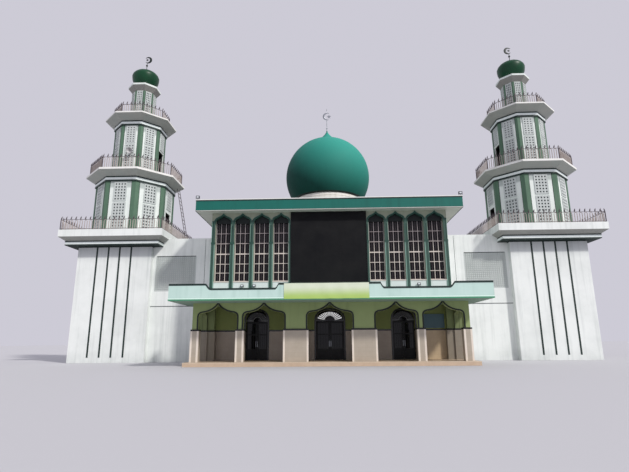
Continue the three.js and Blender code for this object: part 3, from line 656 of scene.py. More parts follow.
FLOORS = (9.23, 14.05, 19.05)
STAGES = [  # apothem, foot, cornice foot, post, screen half width, columns, screens from the top down
    (2.714, FLOORS[0], STAGE_EAVES[0], 0.30, 0.44, 4, [(11.67, 13.05, 6), (9.6, 11.46, 8)]),
    (1.817, FLOORS[1], STAGE_EAVES[1], 0.205, 0.34, 3, [(16.72, 18.06, 7), (14.7, 16.52, 9)]),
    (0.870, FLOORS[2], 21.79, 0.095, 0.20, 3, [(19.35, 21.70, 12)])]
EDGE = math.tan(math.pi / 8)
RIM = 0.045
cement_screen = wall_paint("cast_cement_screen", "#C5CBC9", "#959E9B", 0.5)[0]
screen_shade = coated("shaded_screen_backing", "#4C5554", "#363E3D", 0.9)
for side, spot in TOWERS.items():
    door_face = 2 if side == "left" else 6
    strips, screens = bmesh.new(), bmesh.new()
    for r, foot, top, post, half, columns, parts in STAGES:

        def corner_strips(bm, k):
            edge = (r + 0.02) * EDGE
            for s in (-1, 1):
                bar(bm, s * (edge - post), s * edge, -r - 0.02, -r + 0.01, foot, top)
                bar(bm, s * (edge - post - 0.03), s * (edge - post), -r - 0.008, -r + 0.01, foot, top, 1)

        def face_screens(bm, k):
            for z0, z1, rows in parts[:1] if k == door_face else parts:
                pierced(bm, columns, rows, -half, half, z0, z1, -r - 0.012, 0.03, half / columns * 0.98)
                bar(bm, -half, half, -r - 0.012, -r + 0.01, z0, z1, 1)
                for x in (-half - RIM, half):
                    bar(bm, x, x + RIM, -r - 0.05, -r + 0.01, z0 - RIM, z1 + RIM)
                for z in (z0 - RIM, z1):
                    bar(bm, -half, half, -r - 0.05, -r + 0.01, z, z + RIM)

        around(strips, corner_strips, spot)
        around(screens, face_screens, spot)
    make_piece(f"{side}_tower_corner_strips", strips, [sage_emulsion, dark_line])
    make_piece(f"{side}_tower_screens", screens, [cement_screen, screen_shade])

# %% [markdown]
# The cornices are string courses run in plaster, so each dark line and pale band is a shallow ring
# with the outline of its stage. Spinning a small rectangle in eight steps gives an octagonal ring
# with true flats, and four steps give the square ones round the step under the tower's platform.

# %% Cornice bands
def ring(bm, apothem, proud, z0, z1, spot, sides=8, finish=0):
    grow = 1 / math.cos(math.pi / sides)
    inner, outer = (apothem - 0.03) * grow, (apothem + proud) * grow
    turned(bm, [(inner, z0), (outer, z0), (outer, z1), (inner, z1)], sides, spot, math.pi / sides,
           finish, closed=True)


CORNICES = [  # apothem, foot, heights of the three bands, how far dark and pale stand proud, sides
    (2.774, STAGE_EAVES[0] - 0.03, (0.115, 0.185, 0.098), 0.035, 0.03, 8),
    (1.877, STAGE_EAVES[1] - 0.03, (0.115, 0.185, 0.098), 0.035, 0.03, 8),
    (3.36, 8.157, (0.068, 0.17, 0.08), 0.015, 0.012, 4)]
for side, spot in TOWERS.items():
    bm = bmesh.new()
    for r, z, bands, dark_proud, pale_proud, sides in CORNICES:
        for tall, proud, finish in zip(bands, (dark_proud, pale_proud, dark_proud), (0, 1, 0)):
            ring(bm, r, proud, z, z + tall, spot, sides, finish)
            z += tall
    ring(bm, STAGES[2][0], 0.03, FLOORS[2], FLOORS[2] + 0.08, spot)
    make_piece(f"{side}_tower_cornices", bm, [dark_line, band_emulsion])

# %% [markdown]
# Four dark green strips run down each open side of a tower's base, from the cornice nearly to the
# ground. They are recessed grooves painted dark, and at 120 mm wide they read as drawn lines. Flat
# bars a few millimetres proud show the same line without cutting the wall.

# %% Strips on the tower bases
for side, spot in TOWERS.items():
    bm = bmesh.new()
    outward = -1 if side == "left" else 1

    def strips_on_base(bm, k):
        for x in (-1.2, -0.36, 0.46, 1.29):
            bar(bm, x * outward - 0.062, x * outward + 0.062, -2.706, -2.66, 0.35, 8.158)

    around(bm, strips_on_base, spot, 4, skip=(2 + outward,))
    make_piece(f"{side}_tower_base_strips", bm, [dark_line])

# %% [markdown]
# ## Spiked railings
# The balconies are fenced with welded steel: cream pipes between a dark foot rail and top rail,
# hoops under the top rail, and a leaning spear on every second pipe. One stretch of fence is laid
# between two corners at a time. A pipe needs only six sides here, and hundreds of them are joined in
# one piece. A hoop is a four-sided ring spun through half a turn, from one pipe's head to the next.

# %% Fence stretches
FENCE_PITCH, FOOT_RAIL, HEAD_GAP = 0.35, 0.06, 0.03
POST_R, PIPE_R = 0.034, 0.024


def hoop(bm, middle, turn, spring, radius):
    known = set(bm.verts)
    ringed = bmesh.ops.create_circle(bm, segments=4, radius=0.02,
                                     matrix=Matrix.Translation((radius, 0, 0)))["verts"]
    bmesh.ops.spin(bm, geom=ringed + list({e for v in ringed for e in v.link_edges}), cent=(0, 0, 0),
                   axis=(0, -1, 0), dvec=(0, 0, 0), angle=math.pi, steps=5, use_duplicate=False)
    place_new(bm, known, Matrix.Translation((middle.x, middle.y, spring)) @ turn)


def fence(bm, start, end, floor, rail, spike):
    run = Vector(end) - Vector(start)
    count = max(2, 2 * round(run.length / FENCE_PITCH))
    turn = Matrix.Rotation(math.atan2(run.y, run.x), 4, "Z")
    mid = (Vector(start) + Vector(end)) / 2
    for z, tall in ((rail, 0.024), (FOOT_RAIL, 0.03)):
        lie = (Matrix.Translation((mid.x, mid.y, floor + z)) @ turn
               @ Matrix.Diagonal((run.length + 0.03, 0.036, tall, 1)))
        paint_faces(bmesh.ops.create_cube(bm, size=1, matrix=lie)["verts"], 1)
    gap = run.length / count
    spring = rail - gap / 2 - HEAD_GAP
    for i in range(count):
        p = Vector(start) + run * (i / count)
        radius, tall = (POST_R, rail) if i == 0 else (PIPE_R, spring)
        stand = Matrix.Translation((p.x, p.y, floor + tall / 2 + 0.002))
        made = bmesh.ops.create_cone(bm, cap_ends=True, segments=6, radius1=radius, radius2=radius,
                                     depth=tall - 0.004, matrix=stand)
        paint_faces(made["verts"], 1 if i == 0 else 0)
        if i % 2 == 0:
            hoop(bm, p + run * (0.5 / count), turn, floor + spring, gap / 2)
            tip = (Matrix.Translation((p.x, p.y, floor + rail - 0.01)) @ turn
                   @ Matrix.Rotation(math.radians(16), 4, "Y"))
            for low, high, a, b in ((0.0, spike * 0.45, 0.022, 0.05), (spike * 0.45, spike, 0.05, 0.002)):
                along = tip @ Matrix.Translation((0, 0, (low + high) / 2))
                made = bmesh.ops.create_cone(bm, cap_ends=True, segments=4, radius1=a, radius2=b,
                                             depth=high - low, matrix=along)
                paint_faces(made["verts"], 1)


def fence_ring(bm, apothem, spot, sides, floor, rail, spike):
    r = apothem / math.cos(math.pi / sides)
    corners = [(spot[0] + r * math.sin(a), spot[1] - r * math.cos(a), 0)
               for a in (math.tau * (k + 0.5) / sides for k in range(sides))]
    for a, b in zip(corners, corners[1:] + corners[:1]):
        fence(bm, a, b, floor, rail, spike)


FENCES = ((3.66, 4, 0.74, 0.29), (3.20, 8, 0.89, 0.30), (1.995, 8, 0.88, 0.32))
for side, spot in TOWERS.items():
    for number, (apothem, sides, rail, spike) in enumerate(FENCES, 1):
        bm = bmesh.new()
        fence_ring(bm, apothem, spot, sides, FLOORS[number - 1], rail, spike)
        piece = make_piece(f"{side}_tower_fence_{number}", bm, [rail_paint, rail_dark])
        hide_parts(f"minaret_{side}_railing_{number}")

# %% [markdown]
# ## Vent screens in the wings
# A wall of pierced cement blocks, twenty holes wide and eighteen high, in a thin cement frame with a
# dark top. It is the same grid move as on the towers, set back a little in its opening.

# %% Vent screens
VENT_RIM = 0.05
# Painted shade: the grey sheet behind the holes stands in for the dim space seen through them.
vent_shade = coated("painted_shade_vent_backing", "#CDD2CE", "#A6ACA8", 0.9)
for side, s in (("left", -1), ("right", 1)):
    low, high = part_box(f"vent_screen_{side}")
    bm = bmesh.new()
    pierced(bm, 20, 18, low.x + VENT_RIM, high.x - VENT_RIM, low.z + VENT_RIM, high.z - VENT_RIM, low.y + 0.04,
            0.035, 0.036)
    bar(bm, low.x + 0.02, high.x - 0.02, low.y + 0.04, high.y, low.z + 0.02, high.z - 0.02, 1)
    for x in (low.x, high.x - VENT_RIM):
        bar(bm, x, x + VENT_RIM, low.y, high.y, low.z, high.z, 0)
    for z in (low.z, high.z - VENT_RIM):
        bar(bm, low.x + VENT_RIM, high.x - VENT_RIM, low.y, high.y, z, z + VENT_RIM, 2 if z > low.z else 0)
    piece = make_piece(f"{side}_vent_blocks", bm, [cement_screen, vent_shade, dark_line])
    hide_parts(f"vent_screen_{side}")
    bm = bmesh.new()
    x0, x1 = sorted((s * 8.9, s * 12.79))
    bar(bm, x0, x1, 5.762, 5.8, 3.82, 3.87)
    bar(bm, s * 9.0 - 0.012, s * 9.0 + 0.012, 5.764, 5.8, 3.87, 8.7)
    make_piece(f"{side}_wing_joint_lines", bm, [screen_shade])

# %% [markdown]
# ## Pointed heads
# The porch arches and the windows share one outline: straight sides that turn in and rise to a
# point. The same curve points are used for the trim, so it follows the opening in the solid. Two
# cubic curves make one half, and the other half is its mirror.

# %% Arch outlines
def curve(points, steps):
    a, b, c, d = (Vector(p) for p in points)
    return [a * (1 - t) ** 3 + b * 3 * t * (1 - t) ** 2 + c * 3 * t * t * (1 - t) + d * t ** 3
            for t in (i / steps for i in range(steps + 1))]


OGEE = (curve([(-1, 0), (-1, .27), (-.92, .34), (-.72, .37)], 6)
        + curve([(-.72, .37), (-.38, .44), (-.12, .72), (0, 1)], 8)[1:])
DOORHEAD = (curve([(-1, 0), (-1, .36), (-.86, .66), (-.6, .83)], 6)
            + curve([(-.6, .83), (-.4, .95), (-.15, .97), (0, 1)], 6)[1:])
WINDOWHEAD = (curve([(-1, 0), (-1, .2), (-.9, .36), (-.66, .5)], 5)
              + curve([(-.66, .5), (-.4, .64), (-.14, .78), (0, 1)], 6)[1:])


def outline(kind, x0, x1, foot, spring, tip, grow=0.0):
    mid, half = (x0 + x1) / 2, (x1 - x0) / 2
    left = [Vector((mid + p.x * half, spring + p.y * (tip - spring))) for p in kind]
    line = left + [Vector((2 * mid - p.x, p.y)) for p in reversed(left[:-1])]
    line = [Vector((x0, foot))] + line + [Vector((x1, foot))]
    if not grow:
        return [tuple(p) for p in line]
    out = [(x0 - grow, foot)]
    for before, p, after in zip(line, line[1:], line[2:]):
        a, b = (p - before).normalized(), (after - p).normalized()
        na, nb = Vector((-a.y, a.x)), Vector((-b.y, b.x))
        out.append(tuple(p + (na + nb) * (grow / (1 + na.dot(nb)))))
    return out + [(x1 + grow, foot)]


def porch_arch(x0, x1, grow=0.0):
    return outline(OGEE, x0, x1, 2.06, 2.75, 3.51, grow)


def door_head(x, half, grow=0.0):
    return outline(DOORHEAD, x - half, x + half, 0.226, 2.655, 3.3, grow)


def window_head(x, half, foot, grow=0.0, tip=9.6):
    return outline(WINDOWHEAD, x - half, x + half, foot, 9.19, tip, grow)


print(len(OGEE), "points in half an arch")

# %% [markdown]
# ## Porch trim
# A dark painted line about 80 mm wide follows every arch down to the black border of the dado. The
# border is a raised course right round each pier, and pale edging tiles run down the pier's corners.

# %% Arch lines, border course and corner tiles
ARCHES = [(-7.627, -5.366), (-5.011, -2.621), (-1.302, 1.302), (2.621, 5.011), (5.366, 7.627)]
SIDE_ARCH = (0.45, 2.21)
BORDER = (1.972, 2.066)
porch_line = coated("black_green_porch_enamel", "#0C1713", "#16221D", 0.5)
bm = bmesh.new()
for x0, x1 in ARCHES:
    strip(bm, porch_arch(x0, x1), porch_arch(x0, x1, 0.085), -0.014, 0.004)
    strip(bm, porch_arch(x0, x1), porch_arch(x0, x1, 0.05), 0.346, 0.36)
for s in (-1, 1):
    known = set(bm.verts)
    narrow, wide = ([(s * y, z) for y, z in porch_arch(*SIDE_ARCH, grow)] for grow in (0.0, 0.05))
    for y0, y1 in ((-0.014, 0.004), (0.266, 0.282)):
        strip(bm, narrow, wide, y0, y1)
    place_new(bm, known, Matrix.Translation((s * 7.97, 0, 0)) @ Matrix.Rotation(s * math.pi / 2, 4, "Z"))
make_piece("porch_arch_lines", bm, [porch_line])

front_piers = [(a[1] - 0.06, b[0] + 0.06, -0.06, 0.41) for a, b in zip(ARCHES, ARCHES[1:])]
front_piers += [(s * 7.7985 - 0.2315, s * 7.7985 + 0.2315, -0.06, 0.41) for s in (-1, 1)]
rear_jambs = [(s * 7.945 - 0.305, s * 7.945 + 0.305, 2.15, 2.6) for s in (-1, 1)]
COURSE_T, TILE, TILE_T = 0.008, 0.1, 0.007
bm = bmesh.new()
for x0, x1, y0, y1 in front_piers + rear_jambs:
    sides = [(x0, x1, y0 - COURSE_T, y0), (x0 - COURSE_T, x0, y0 - COURSE_T, y1 + COURSE_T),
             (x1, x1 + COURSE_T, y0 - COURSE_T, y1 + COURSE_T)]
    if y1 < 1:
        sides.append((x0, x1, y1, y1 + COURSE_T))
    for a, b, c, d in sides:
        bar(bm, a, b, c, d, *BORDER)
for x0, x1, y0, y1 in front_piers:
    for x in (x0, x1 - TILE):
        bar(bm, x, x + TILE, y0 - TILE_T, y0, 0.23, BORDER[0], 1)
    for x in (x0 - TILE_T, x1):
        bar(bm, x, x + TILE_T, y0 - TILE_T, y0 + TILE, 0.23, BORDER[0], 1)
edge_tile = coated("pale_edging_tile", "#E6DCCF", "#CDBDAC", 0.3)
make_piece("pier_border_and_edging", bm, [black_trim, edge_tile])

# %% [markdown]
# The rear wall of the porch has the same border, and a broad black architrave around each doorway.
# Two dark posts stand at the foot of the middle bay, the ends of a folded steel gate.

# %% Rear wall border, architraves and gate posts
DOORS = {"left": (-4.63, 0.70), "centre": (0.0, 0.875), "right": (4.63, 0.70)}
bm = bmesh.new()
edges = [-7.18] + [x + s * (half + 0.1) for x, half in DOORS.values() for s in (-1, 1)] + [7.18]
for x0, x1 in zip(edges[::2], edges[1::2]):
    bar(bm, x0, x1, 2.598, 2.612, *BORDER)
for s in (-1, 1):
    bar(bm, s * 7.182, s * 7.632, 2.242, 2.25, *BORDER)
    bar(bm, s * 7.182, s * 7.19, 2.25, 2.598, *BORDER)
for x, half in DOORS.values():
    strip(bm, door_head(x, half), door_head(x, half, 0.1), 2.585, 2.612)
for s in (-1, 1):
    bar(bm, s * 1.242 - 0.02, s * 1.242 + 0.02, 0.03, 0.3, 0.226, 1.15)
make_piece("rear_wall_border_and_architraves", bm, [black_trim])

# %% [markdown]
# ## Doors
# Each leaf is a welded frame in black enamel: stiles, a lock rail, a solid foot panel and three slim
# bars over dark glass, with a bow handle near the meeting edge. The leaves turn, so every leaf is a
# piece of its own that rides on its own body and stays inside the solid it stands for.

# %% Door leaves
LEAF_FOOT, STILE, MID_RAIL, PIVOT_IN = 0.233, 0.1, (1.74, 1.82), 0.0225


def leaf_piece(door, hand):
    low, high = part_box(f"door_{door}_leaf_{hand}")
    bm = bmesh.new()
    x0, x1, y0, y1, z0, z1 = low.x, high.x, low.y, high.y, LEAF_FOOT, high.z
    for a, b in ((x0, x0 + STILE), (x1 - STILE, x1)):
        bar(bm, a, b, y0, y1, z0, z1)
    for a, b in ((z0, z0 + 0.14), (z0 + 0.56, z0 + 0.66), MID_RAIL, (z1 - 0.11, z1)):
        bar(bm, x0 + STILE, x1 - STILE, y0 + 0.002, y1 - 0.002, a, b)
    bar(bm, x0 + STILE, x1 - STILE, y0 + 0.014, y1 - 0.014, z0 + 0.14, z0 + 0.56)
    made = bar(bm, x0 + 0.16, x1 - 0.16, y0 + 0.006, y0 + 0.016, z0 + 0.2, z0 + 0.5)
    front = [f for v in made for f in v.link_faces if f.normal.y < -0.9]
    bmesh.ops.bevel(bm, geom=list({e for f in front for e in f.edges}), offset=0.008, segments=1, profile=0.5,
                    affect="EDGES", material=-1)
    bar(bm, x0 + 0.09, x1 - 0.09, (y0 + y1) / 2 - 0.004, (y0 + y1) / 2 + 0.004, z0 + 0.65, z1 - 0.1, 1)
    inner = x1 - x0 - 2 * STILE
    for i in (1, 2, 3):
        x = x0 + STILE + inner * i / 4
        for a, b in ((z0 + 0.66, MID_RAIL[0]), (MID_RAIL[1], z1 - 0.11)):
            bar(bm, x - 0.009, x + 0.009, y0 + 0.008, y1 - 0.008, a, b)
    mid = (x1 - 0.05) if hand == "left" else (x0 + 0.05)
    for z in (1.05, 1.35):
        bar(bm, mid - 0.012, mid + 0.012, y0 - 0.035, y0, z - 0.012, z + 0.012, 2)
    bar(bm, mid - 0.012, mid + 0.012, y0 - 0.047, y0 - 0.033, 1.02, 1.38, 2)
    pin = x0 + PIVOT_IN if hand == "left" else x1 - PIVOT_IN
    bmesh.ops.create_cone(bm, cap_ends=True, segments=12, radius1=0.012, radius2=0.012, depth=0.02,
                          matrix=Matrix.Translation((pin, (y0 + y1) / 2, 0.236)))
    piece = make_piece(f"{door}_door_{hand}_leaf_frame", bm, [door_enamel, leaf_glass, bright_steel],
                       body=f"{door}_leaf_{hand}")
    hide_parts(f"door_{door}_leaf_{hand}")


leaf_glass = coated("dark_door_glass", "#08090B", "#1B1D20", 0.06, cloud=0.5, size=2.0, ripple=0.04,
                    **{"Specular IOR Level": 0.3})
for door in DOORS:
    for hand in ("left", "right"):
        leaf_piece(door, hand)

# %% [markdown]
# ## Fanlights
# Over each pair of leaves is a transom rail, and above it a fan of rays around a small arched opening.
# Over the middle doors they are frosted white panes that glow faintly, a painted light for the
# daylight behind them, and over the others cut grey metal. A ray is a thin plate, turned about the
# fan's centre. A fan of plates shows its gaps better than a painted pattern would.

# %% Rays and transoms
# Painted light: the white panes glow with a weak emission, for the daylight behind them.
white_rays = coated("frosted_white_fan_panes_painted_glow", "#FAFAF8", "#E2E2DE", 0.4,
                    **{"Emission Color": linear("#F4F6FA"), "Emission Strength": 0.42})
grey_rays = coated("grey_fan_enamel", "#4D4F52", "#34363A", 0.45)
transom_grey = coated("grey_transom_enamel", "#66686B", "#4A4C50", 0.45)
RAYS, HUB_Z, RAY_START, FAN_TALL = 17, 2.60, 0.34, 0.56


def hub_arc(x, r):
    return [(x + r * math.cos(a), HUB_Z + 1.05 * r * math.sin(a))
            for a in (math.pi * i / 12 for i in range(13))]


for door, (x, half) in DOORS.items():
    bm = bmesh.new()
    for a, b in ((x - half + 0.005, x - 0.26), (x + 0.26, x + half - 0.005)):
        bar(bm, a, b, 2.86, 2.905, 2.6, 2.69, 1)
    for i in range(RAYS):
        a = math.pi * (i + 0.5) / RAYS
        along, across = Vector((math.cos(a), math.sin(a))), Vector((-math.sin(a), math.cos(a)))
        reach = 1 / math.hypot(along.x / (half - 0.07), along.y / FAN_TALL)
        if reach - RAY_START < 0.08 or reach * along.y < 0.11:
            continue
        p, q = along * RAY_START, along * reach
        rim = [p + across * 0.018, p - across * 0.018, q - across * 0.04, q + along * 0.02, q + across * 0.04]
        plate(bm, [(x + v.x, HUB_Z + v.y) for v in rim], 2.885, 2.9)
    strip(bm, hub_arc(x, 0.25), hub_arc(x, 0.30), 2.87, 2.9, 1 if door != "centre" else 2)
    rays = white_rays if door == "centre" else grey_rays
    make_piece(f"{door}_fan_rays", bm, [rays, transom_grey, door_enamel])

# %% [markdown]
# ## Window frames and bars
# The tall upper windows are steel frames in a chalky pink-grey oil paint: two mullions and five
# transoms, of which the third from the top is heavier, with a slim guard bar in the middle of each
# pane. The pointed head is closed by a dark green panel, painted near-black as the shade in its
# recess. One window is built for a given middle line and then turned for the side and rear walls.

# %% One window, made many times
TRANSOMS = ((8.39, 0.018), (7.71, 0.022), (7.005, 0.038), (6.34, 0.02), (5.75, 0.02))
SILL, HEAD_FOOT, STILE_W = 5.16, 9.06, 0.04
FRONT_WINDOWS = [s * x for s in (-1, 1) for x in (3.145, 4.43, 5.715, 7.0)]
SIDE_WINDOWS, REAR_WINDOWS = (12.2, 14.0, 15.8, 17.6), (-5.5, -3.3, -1.1, 1.1, 3.3, 5.5)
WALLS = {  # quarter turns from the front, middle lines, frame plane and wall face on that side
    "front": (0, FRONT_WINDOWS, 2.80, 2.61),
    "left_side": (-1, [-y for y in SIDE_WINDOWS], -7.655, -7.765),
    "right_side": (1, SIDE_WINDOWS, -7.655, -7.765),
    "rear": (2, REAR_WINDOWS, -19.28, -19.39)}


def window(bm, x, y):
    x0, x1 = x - 0.50, x + 0.50
    for a, b in ((x0, x0 + STILE_W), (x1 - STILE_W, x1)):
        bar(bm, a, b, y, y + 0.06, SILL, HEAD_FOOT + 0.02)
    bar(bm, x0 + STILE_W, x1 - STILE_W, y, y + 0.06, SILL, SILL + 0.06)
    plate(bm, window_head(x, 0.50, HEAD_FOOT, tip=9.59), y - 0.01, y + 0.04, 2)
    for m in (x - 0.16, x + 0.16):
        bar(bm, m - 0.018, m + 0.018, y + 0.004, y + 0.05, SILL + 0.06, HEAD_FOOT)
    for g in (x - 0.31, x, x + 0.31):
        bar(bm, g - 0.006, g + 0.006, y + 0.02, y + 0.034, SILL + 0.06, HEAD_FOOT, 1)
    for z, h in TRANSOMS:
        bar(bm, x0 + STILE_W, x1 - STILE_W, y + 0.002, y + 0.052, z - h, z + h)


thin_bar = coated("dark_guard_bar_paint", "#5B4C50", "#3C3034", 0.5)
for wall, (quarters, middles, frame_y, _) in WALLS.items():
    bm = bmesh.new()
    for x in middles:
        window(bm, x, frame_y)
    place_new(bm, (), Matrix.Rotation(quarters * math.pi / 2, 4, "Z"))
    make_piece(f"{wall}_window_frames", bm, [bar_paint, thin_bar, head_panel])

# %% [markdown]
# Between the windows stand grey-green pilasters with a paler strip on each edge, wider on the edge
# towards the middle of the front, and a small collar at the second transom. Above the collar, the
# other side is a dark groove. The heads have a green hood moulding with a pale outer edge, and under
# each sill is a white panel. They are plaster run in place, so they are plain bars and strips on the
# wall face. The two beside the sign board end at its edge.

# %% Pilasters, hoods and sill panels
front = WALLS["front"][3]
COLLAR = (7.62, 7.76)
SIGN_EDGE, WALL_EDGE = 2.47, 7.765
PILASTER_BARS = [  # from, to (from the edge towards the middle of the front), proud, foot, top, finish
    (0, 0.23, 0.06, 4.2, 7.66, 0), (-0.01, 0.05, 0.066, 4.2, COLLAR[0], 1),
    (0.22, 0.242, 0.066, 4.2, COLLAR[0], 1), (-0.02, 0.25, 0.085, *COLLAR, 2),
    (0, 0.12, 0.05, COLLAR[1], 9.25, 0), (0.12, 0.205, 0.012, COLLAR[1], 9.22, 2),
    (0.205, 0.23, 0.05, COLLAR[1], 9.22, 1)]
bm = bmesh.new()
for s in (-1, 1):
    for middle in (2.5025, 3.7875, 5.0725, 6.3575, 7.64):
        near = middle - 0.115
        for a, b, proud, z0, z1, finish in PILASTER_BARS:
            a, b = max(near + a, SIGN_EDGE), min(near + b, WALL_EDGE)
            if b > a:
                bar(bm, s * a, s * b, front - proud, front + 0.002, z0, z1, finish)
HALF = 0.51
for x in FRONT_WINDOWS:
    strip(bm, window_head(x, HALF, 9.0), window_head(x, HALF, 9.0, 0.09), front - 0.055, front + 0.002, 2)
    strip(bm, window_head(x, HALF, 8.9, 0.09), window_head(x, HALF, 8.9, 0.115), front - 0.03, front + 0.002, 1)
make_piece("window_pilasters_and_hoods", bm, [window_green, pale_green_edge, reveal_green])
bm = bmesh.new()
for x in FRONT_WINDOWS:
    bar(bm, x - HALF, x + HALF, front - 0.02, front + 0.002, 4.2, 5.1)
    bar(bm, x - HALF - 0.02, x + HALF + 0.02, front - 0.05, front + 0.2, 5.1, 5.162, 1)
sill_paint = coated("sill_panel_emulsion", "#D5DCDA", "#B4BDBA", 0.8)
make_piece("window_sill_panels", bm, [sill_paint, bar_paint])

# %% [markdown]
# The side and rear windows get the same plain hood and sill, so the unseen walls repeat the front.

# %% Hoods on the side and rear walls
bm = bmesh.new()
for wall in ("left_side", "right_side", "rear"):
    quarters, middles, _, wall_y = WALLS[wall]
    known = set(bm.verts)
    for x in middles:
        strip(bm, window_head(x, HALF, SILL), window_head(x, HALF, SILL, 0.09), wall_y - 0.035, wall_y + 0.002)
        bar(bm, x - 0.62, x + 0.62, wall_y - 0.06, wall_y + 0.002, SILL - 0.08, SILL, 1)
    place_new(bm, known, Matrix.Rotation(quarters * math.pi / 2, 4, "Z"))
make_piece("side_and_rear_hoods", bm, [window_green, white_emulsion])

# %% [markdown]
# ## Sign board
# The front carries a tall board in a slim frame: three bare black sheets, with a faint raised seam at
# each joint. The frame's bars lap over the sheet's edges, as folded angles do.

# %% Frame and seams of the sign board
low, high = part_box("front_sign_board")
bm = bmesh.new()
for x in (low.x - 0.01, high.x - 0.04):
    bar(bm, x, x + 0.05, low.y - 0.02, low.y + 0.02, low.z, high.z - 0.002)
for z in (low.z, high.z - 0.052):
    bar(bm, low.x + 0.04, high.x - 0.04, low.y - 0.02, low.y + 0.02, z, z + 0.05)
for x in (low.x + 1.66, high.x - 1.66):
    bar(bm, x - 0.006, x + 0.006, low.y - 0.004, low.y + 0.01, low.z + 0.05, high.z - 0.052, 1)
make_piece("sign_board_frame", bm, [door_enamel, sign_sheet])

# %% [markdown]
# ## Roof edge
# The flat roof ends in a deep teal fascia. A white cap of folded sheet lies on it over a dark
# shadow line, and a dark drip strip closes its lower edge. On the front a pale board covers that.

# %% Cap, lines and soffit
low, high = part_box("hall_roof")
bm = bmesh.new()


def frame_round(bm, low, high, proud, z0, z1, depth=0.06, finish=0):
    x0, x1, y0, y1 = low.x - proud, high.x + proud, low.y - proud, high.y + proud
    bar(bm, x0, x1, y0, y0 + depth, z0, z1, finish)
    bar(bm, x0, x1, y1 - depth, y1, z0, z1, finish)
    bar(bm, x0, x0 + depth, y0 + depth, y1 - depth, z0, z1, finish)
    bar(bm, x1 - depth, x1, y0 + depth, y1 - depth, z0, z1, finish)


frame_round(bm, low, high, 0.03, 10.51, 10.56, 0.2, 1)
frame_round(bm, low, high, 0.012, 10.435, 10.51)
frame_round(bm, low, high, 0.012, 9.762, 9.815)
bar(bm, low.x, high.x, low.y - 0.016, low.y - 0.011, 9.76, 9.8, 2)
cap_sheet = coated("white_cap_sheet", "#E9EAE6", "#B9BAB4", 0.5)
soffit_trim = coated("pale_soffit_trim", "#C8C8C2", "#A2A29C", 0.6)
make_piece("roof_edge_lines", bm, [dark_line, cap_sheet, soffit_trim])

# %% [markdown]
# ## Canopy trim
# The canopy's parapet steps down in two shallow curves. A dark coping follows that profile, and a
# green strip runs along the foot under a paler moulding. The coping is a strip between the profile
# and the same line 100 mm lower, so it bends with every curve.

# %% Stepped coping and foot strip
PARAPET_LOW, PARAPET_TOP = 4.209, 4.469
STEPS = 10


def quarter(x, width, bend):
    return [(x + width * i / STEPS, PARAPET_LOW + 0.26 * (1 - bend(math.pi / 2 * i / STEPS)))
            for i in range(STEPS + 1)]


profile = ([(-8.84, PARAPET_TOP)] + quarter(-6.79, 0.29, math.sin) + quarter(-2.98, 0.2, math.cos)
           + quarter(2.78, 0.2, math.sin) + quarter(6.5, 0.29, math.cos) + [(8.84, PARAPET_TOP)])
bm = bmesh.new()
strip(bm, [(x, z - 0.08) for x, z in profile], [(x, z + 0.02) for x, z in profile], -1.85, -1.70)
for s in (-1, 1):
    x0, x1 = sorted((s * 8.70, s * 8.855))
    bar(bm, x0, x1, -1.70, 2.6, 4.389, 4.489)
bar(bm, -8.85, 8.85, -1.842, -1.83, 3.562, 3.64, 1)
bar(bm, -8.85, 8.85, -1.846, -1.83, 3.64, 3.69, 2)
for s in (-1, 1):
    x0, x1 = sorted((s * 8.836, s * 8.85))
    bar(bm, x0, x1, -1.83, 2.6, 3.562, 3.62)
foot_green = coated("canopy_foot_enamel", "#4A9470", "#33705A", 0.55)
pale_moulding = coated("pale_mint_moulding_enamel", "#DDF6EA", "#B9DDCC", 0.6)
make_piece("canopy_coping_and_foot_strip", bm, [dark_line, foot_green, pale_moulding])

# %% [markdown]
# ## Banner
# A vinyl sheet hangs across the canopy, pale at the top and lime at the foot. Held at its corners it
# waves a little, so a fine grid is moved by two slow waves and a noise, and then given a thin edge.
# A cloth simulation would give the same small folds in far more time.

# %% Hung sheet
bm = bmesh.new()
WIDE, TALL = 4.63, 0.85
lie = (Matrix.Translation((-0.165, -1.862, 4.035)) @ Matrix.Rotation(math.pi / 2, 4, "X")
       @ Matrix.Diagonal((WIDE, TALL, 1, 1)))
bmesh.ops.create_grid(bm, x_segments=120, y_segments=22, size=0.5, matrix=lie)
for v in bm.verts:
    u, h = (v.co.x + 2.48) / WIDE, (v.co.z - 3.61) / TALL
    slack = math.sin(math.pi * min(max(u, 0.0), 1.0)) ** 0.5 if 0.001 < u < 0.999 else 0.0
    v.co.y += 0.006 * slack * math.sin(u * 31 + h * 3)
    v.co.y += 0.008 * slack * noise.noise(Vector((u * 9, h * 2.2, 1.7)))
    v.co.z += -0.012 * slack * (0.4 + 0.6 * math.sin(u * 17) ** 2) * (1 - abs(h - 0.5))
thicken(bm, bm.faces[:], 0, 0.0015)
vinyl = coated("banner_vinyl", "#D9E2CB", "#C8D2B4", 0.45, cloud=0.4, size=3.0)
fade_by_height(vinyl, "#A9C768", 3.68, 4.3, 1.0, 0.0)
banner = make_piece("vinyl_banner", bm, [vinyl], smooth=60)
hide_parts("canopy_banner")

# %% [markdown]
# ## Notice board
# It is a bare blue-grey sheet in a slim frame of the same paint, fixed to the porch's rear wall. Four
# bars lie over the solid's edges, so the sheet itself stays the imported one.

# %% Notice board frame
low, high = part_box("notice_board")
bm = bmesh.new()
for x in (low.x, high.x - 0.05):
    bar(bm, x, x + 0.05, low.y - 0.02, low.y + 0.01, low.z, high.z)
for z in (low.z, high.z - 0.05):
    bar(bm, low.x + 0.05, high.x - 0.05, low.y - 0.02, low.y + 0.01, z, z + 0.05)
make_piece("notice_board_frame", bm, [board_sheet])

# %% [markdown]
# ## Plinth edge
# The tiled floor ends in a step whose front is a warm tile with a pale nosing along the top.

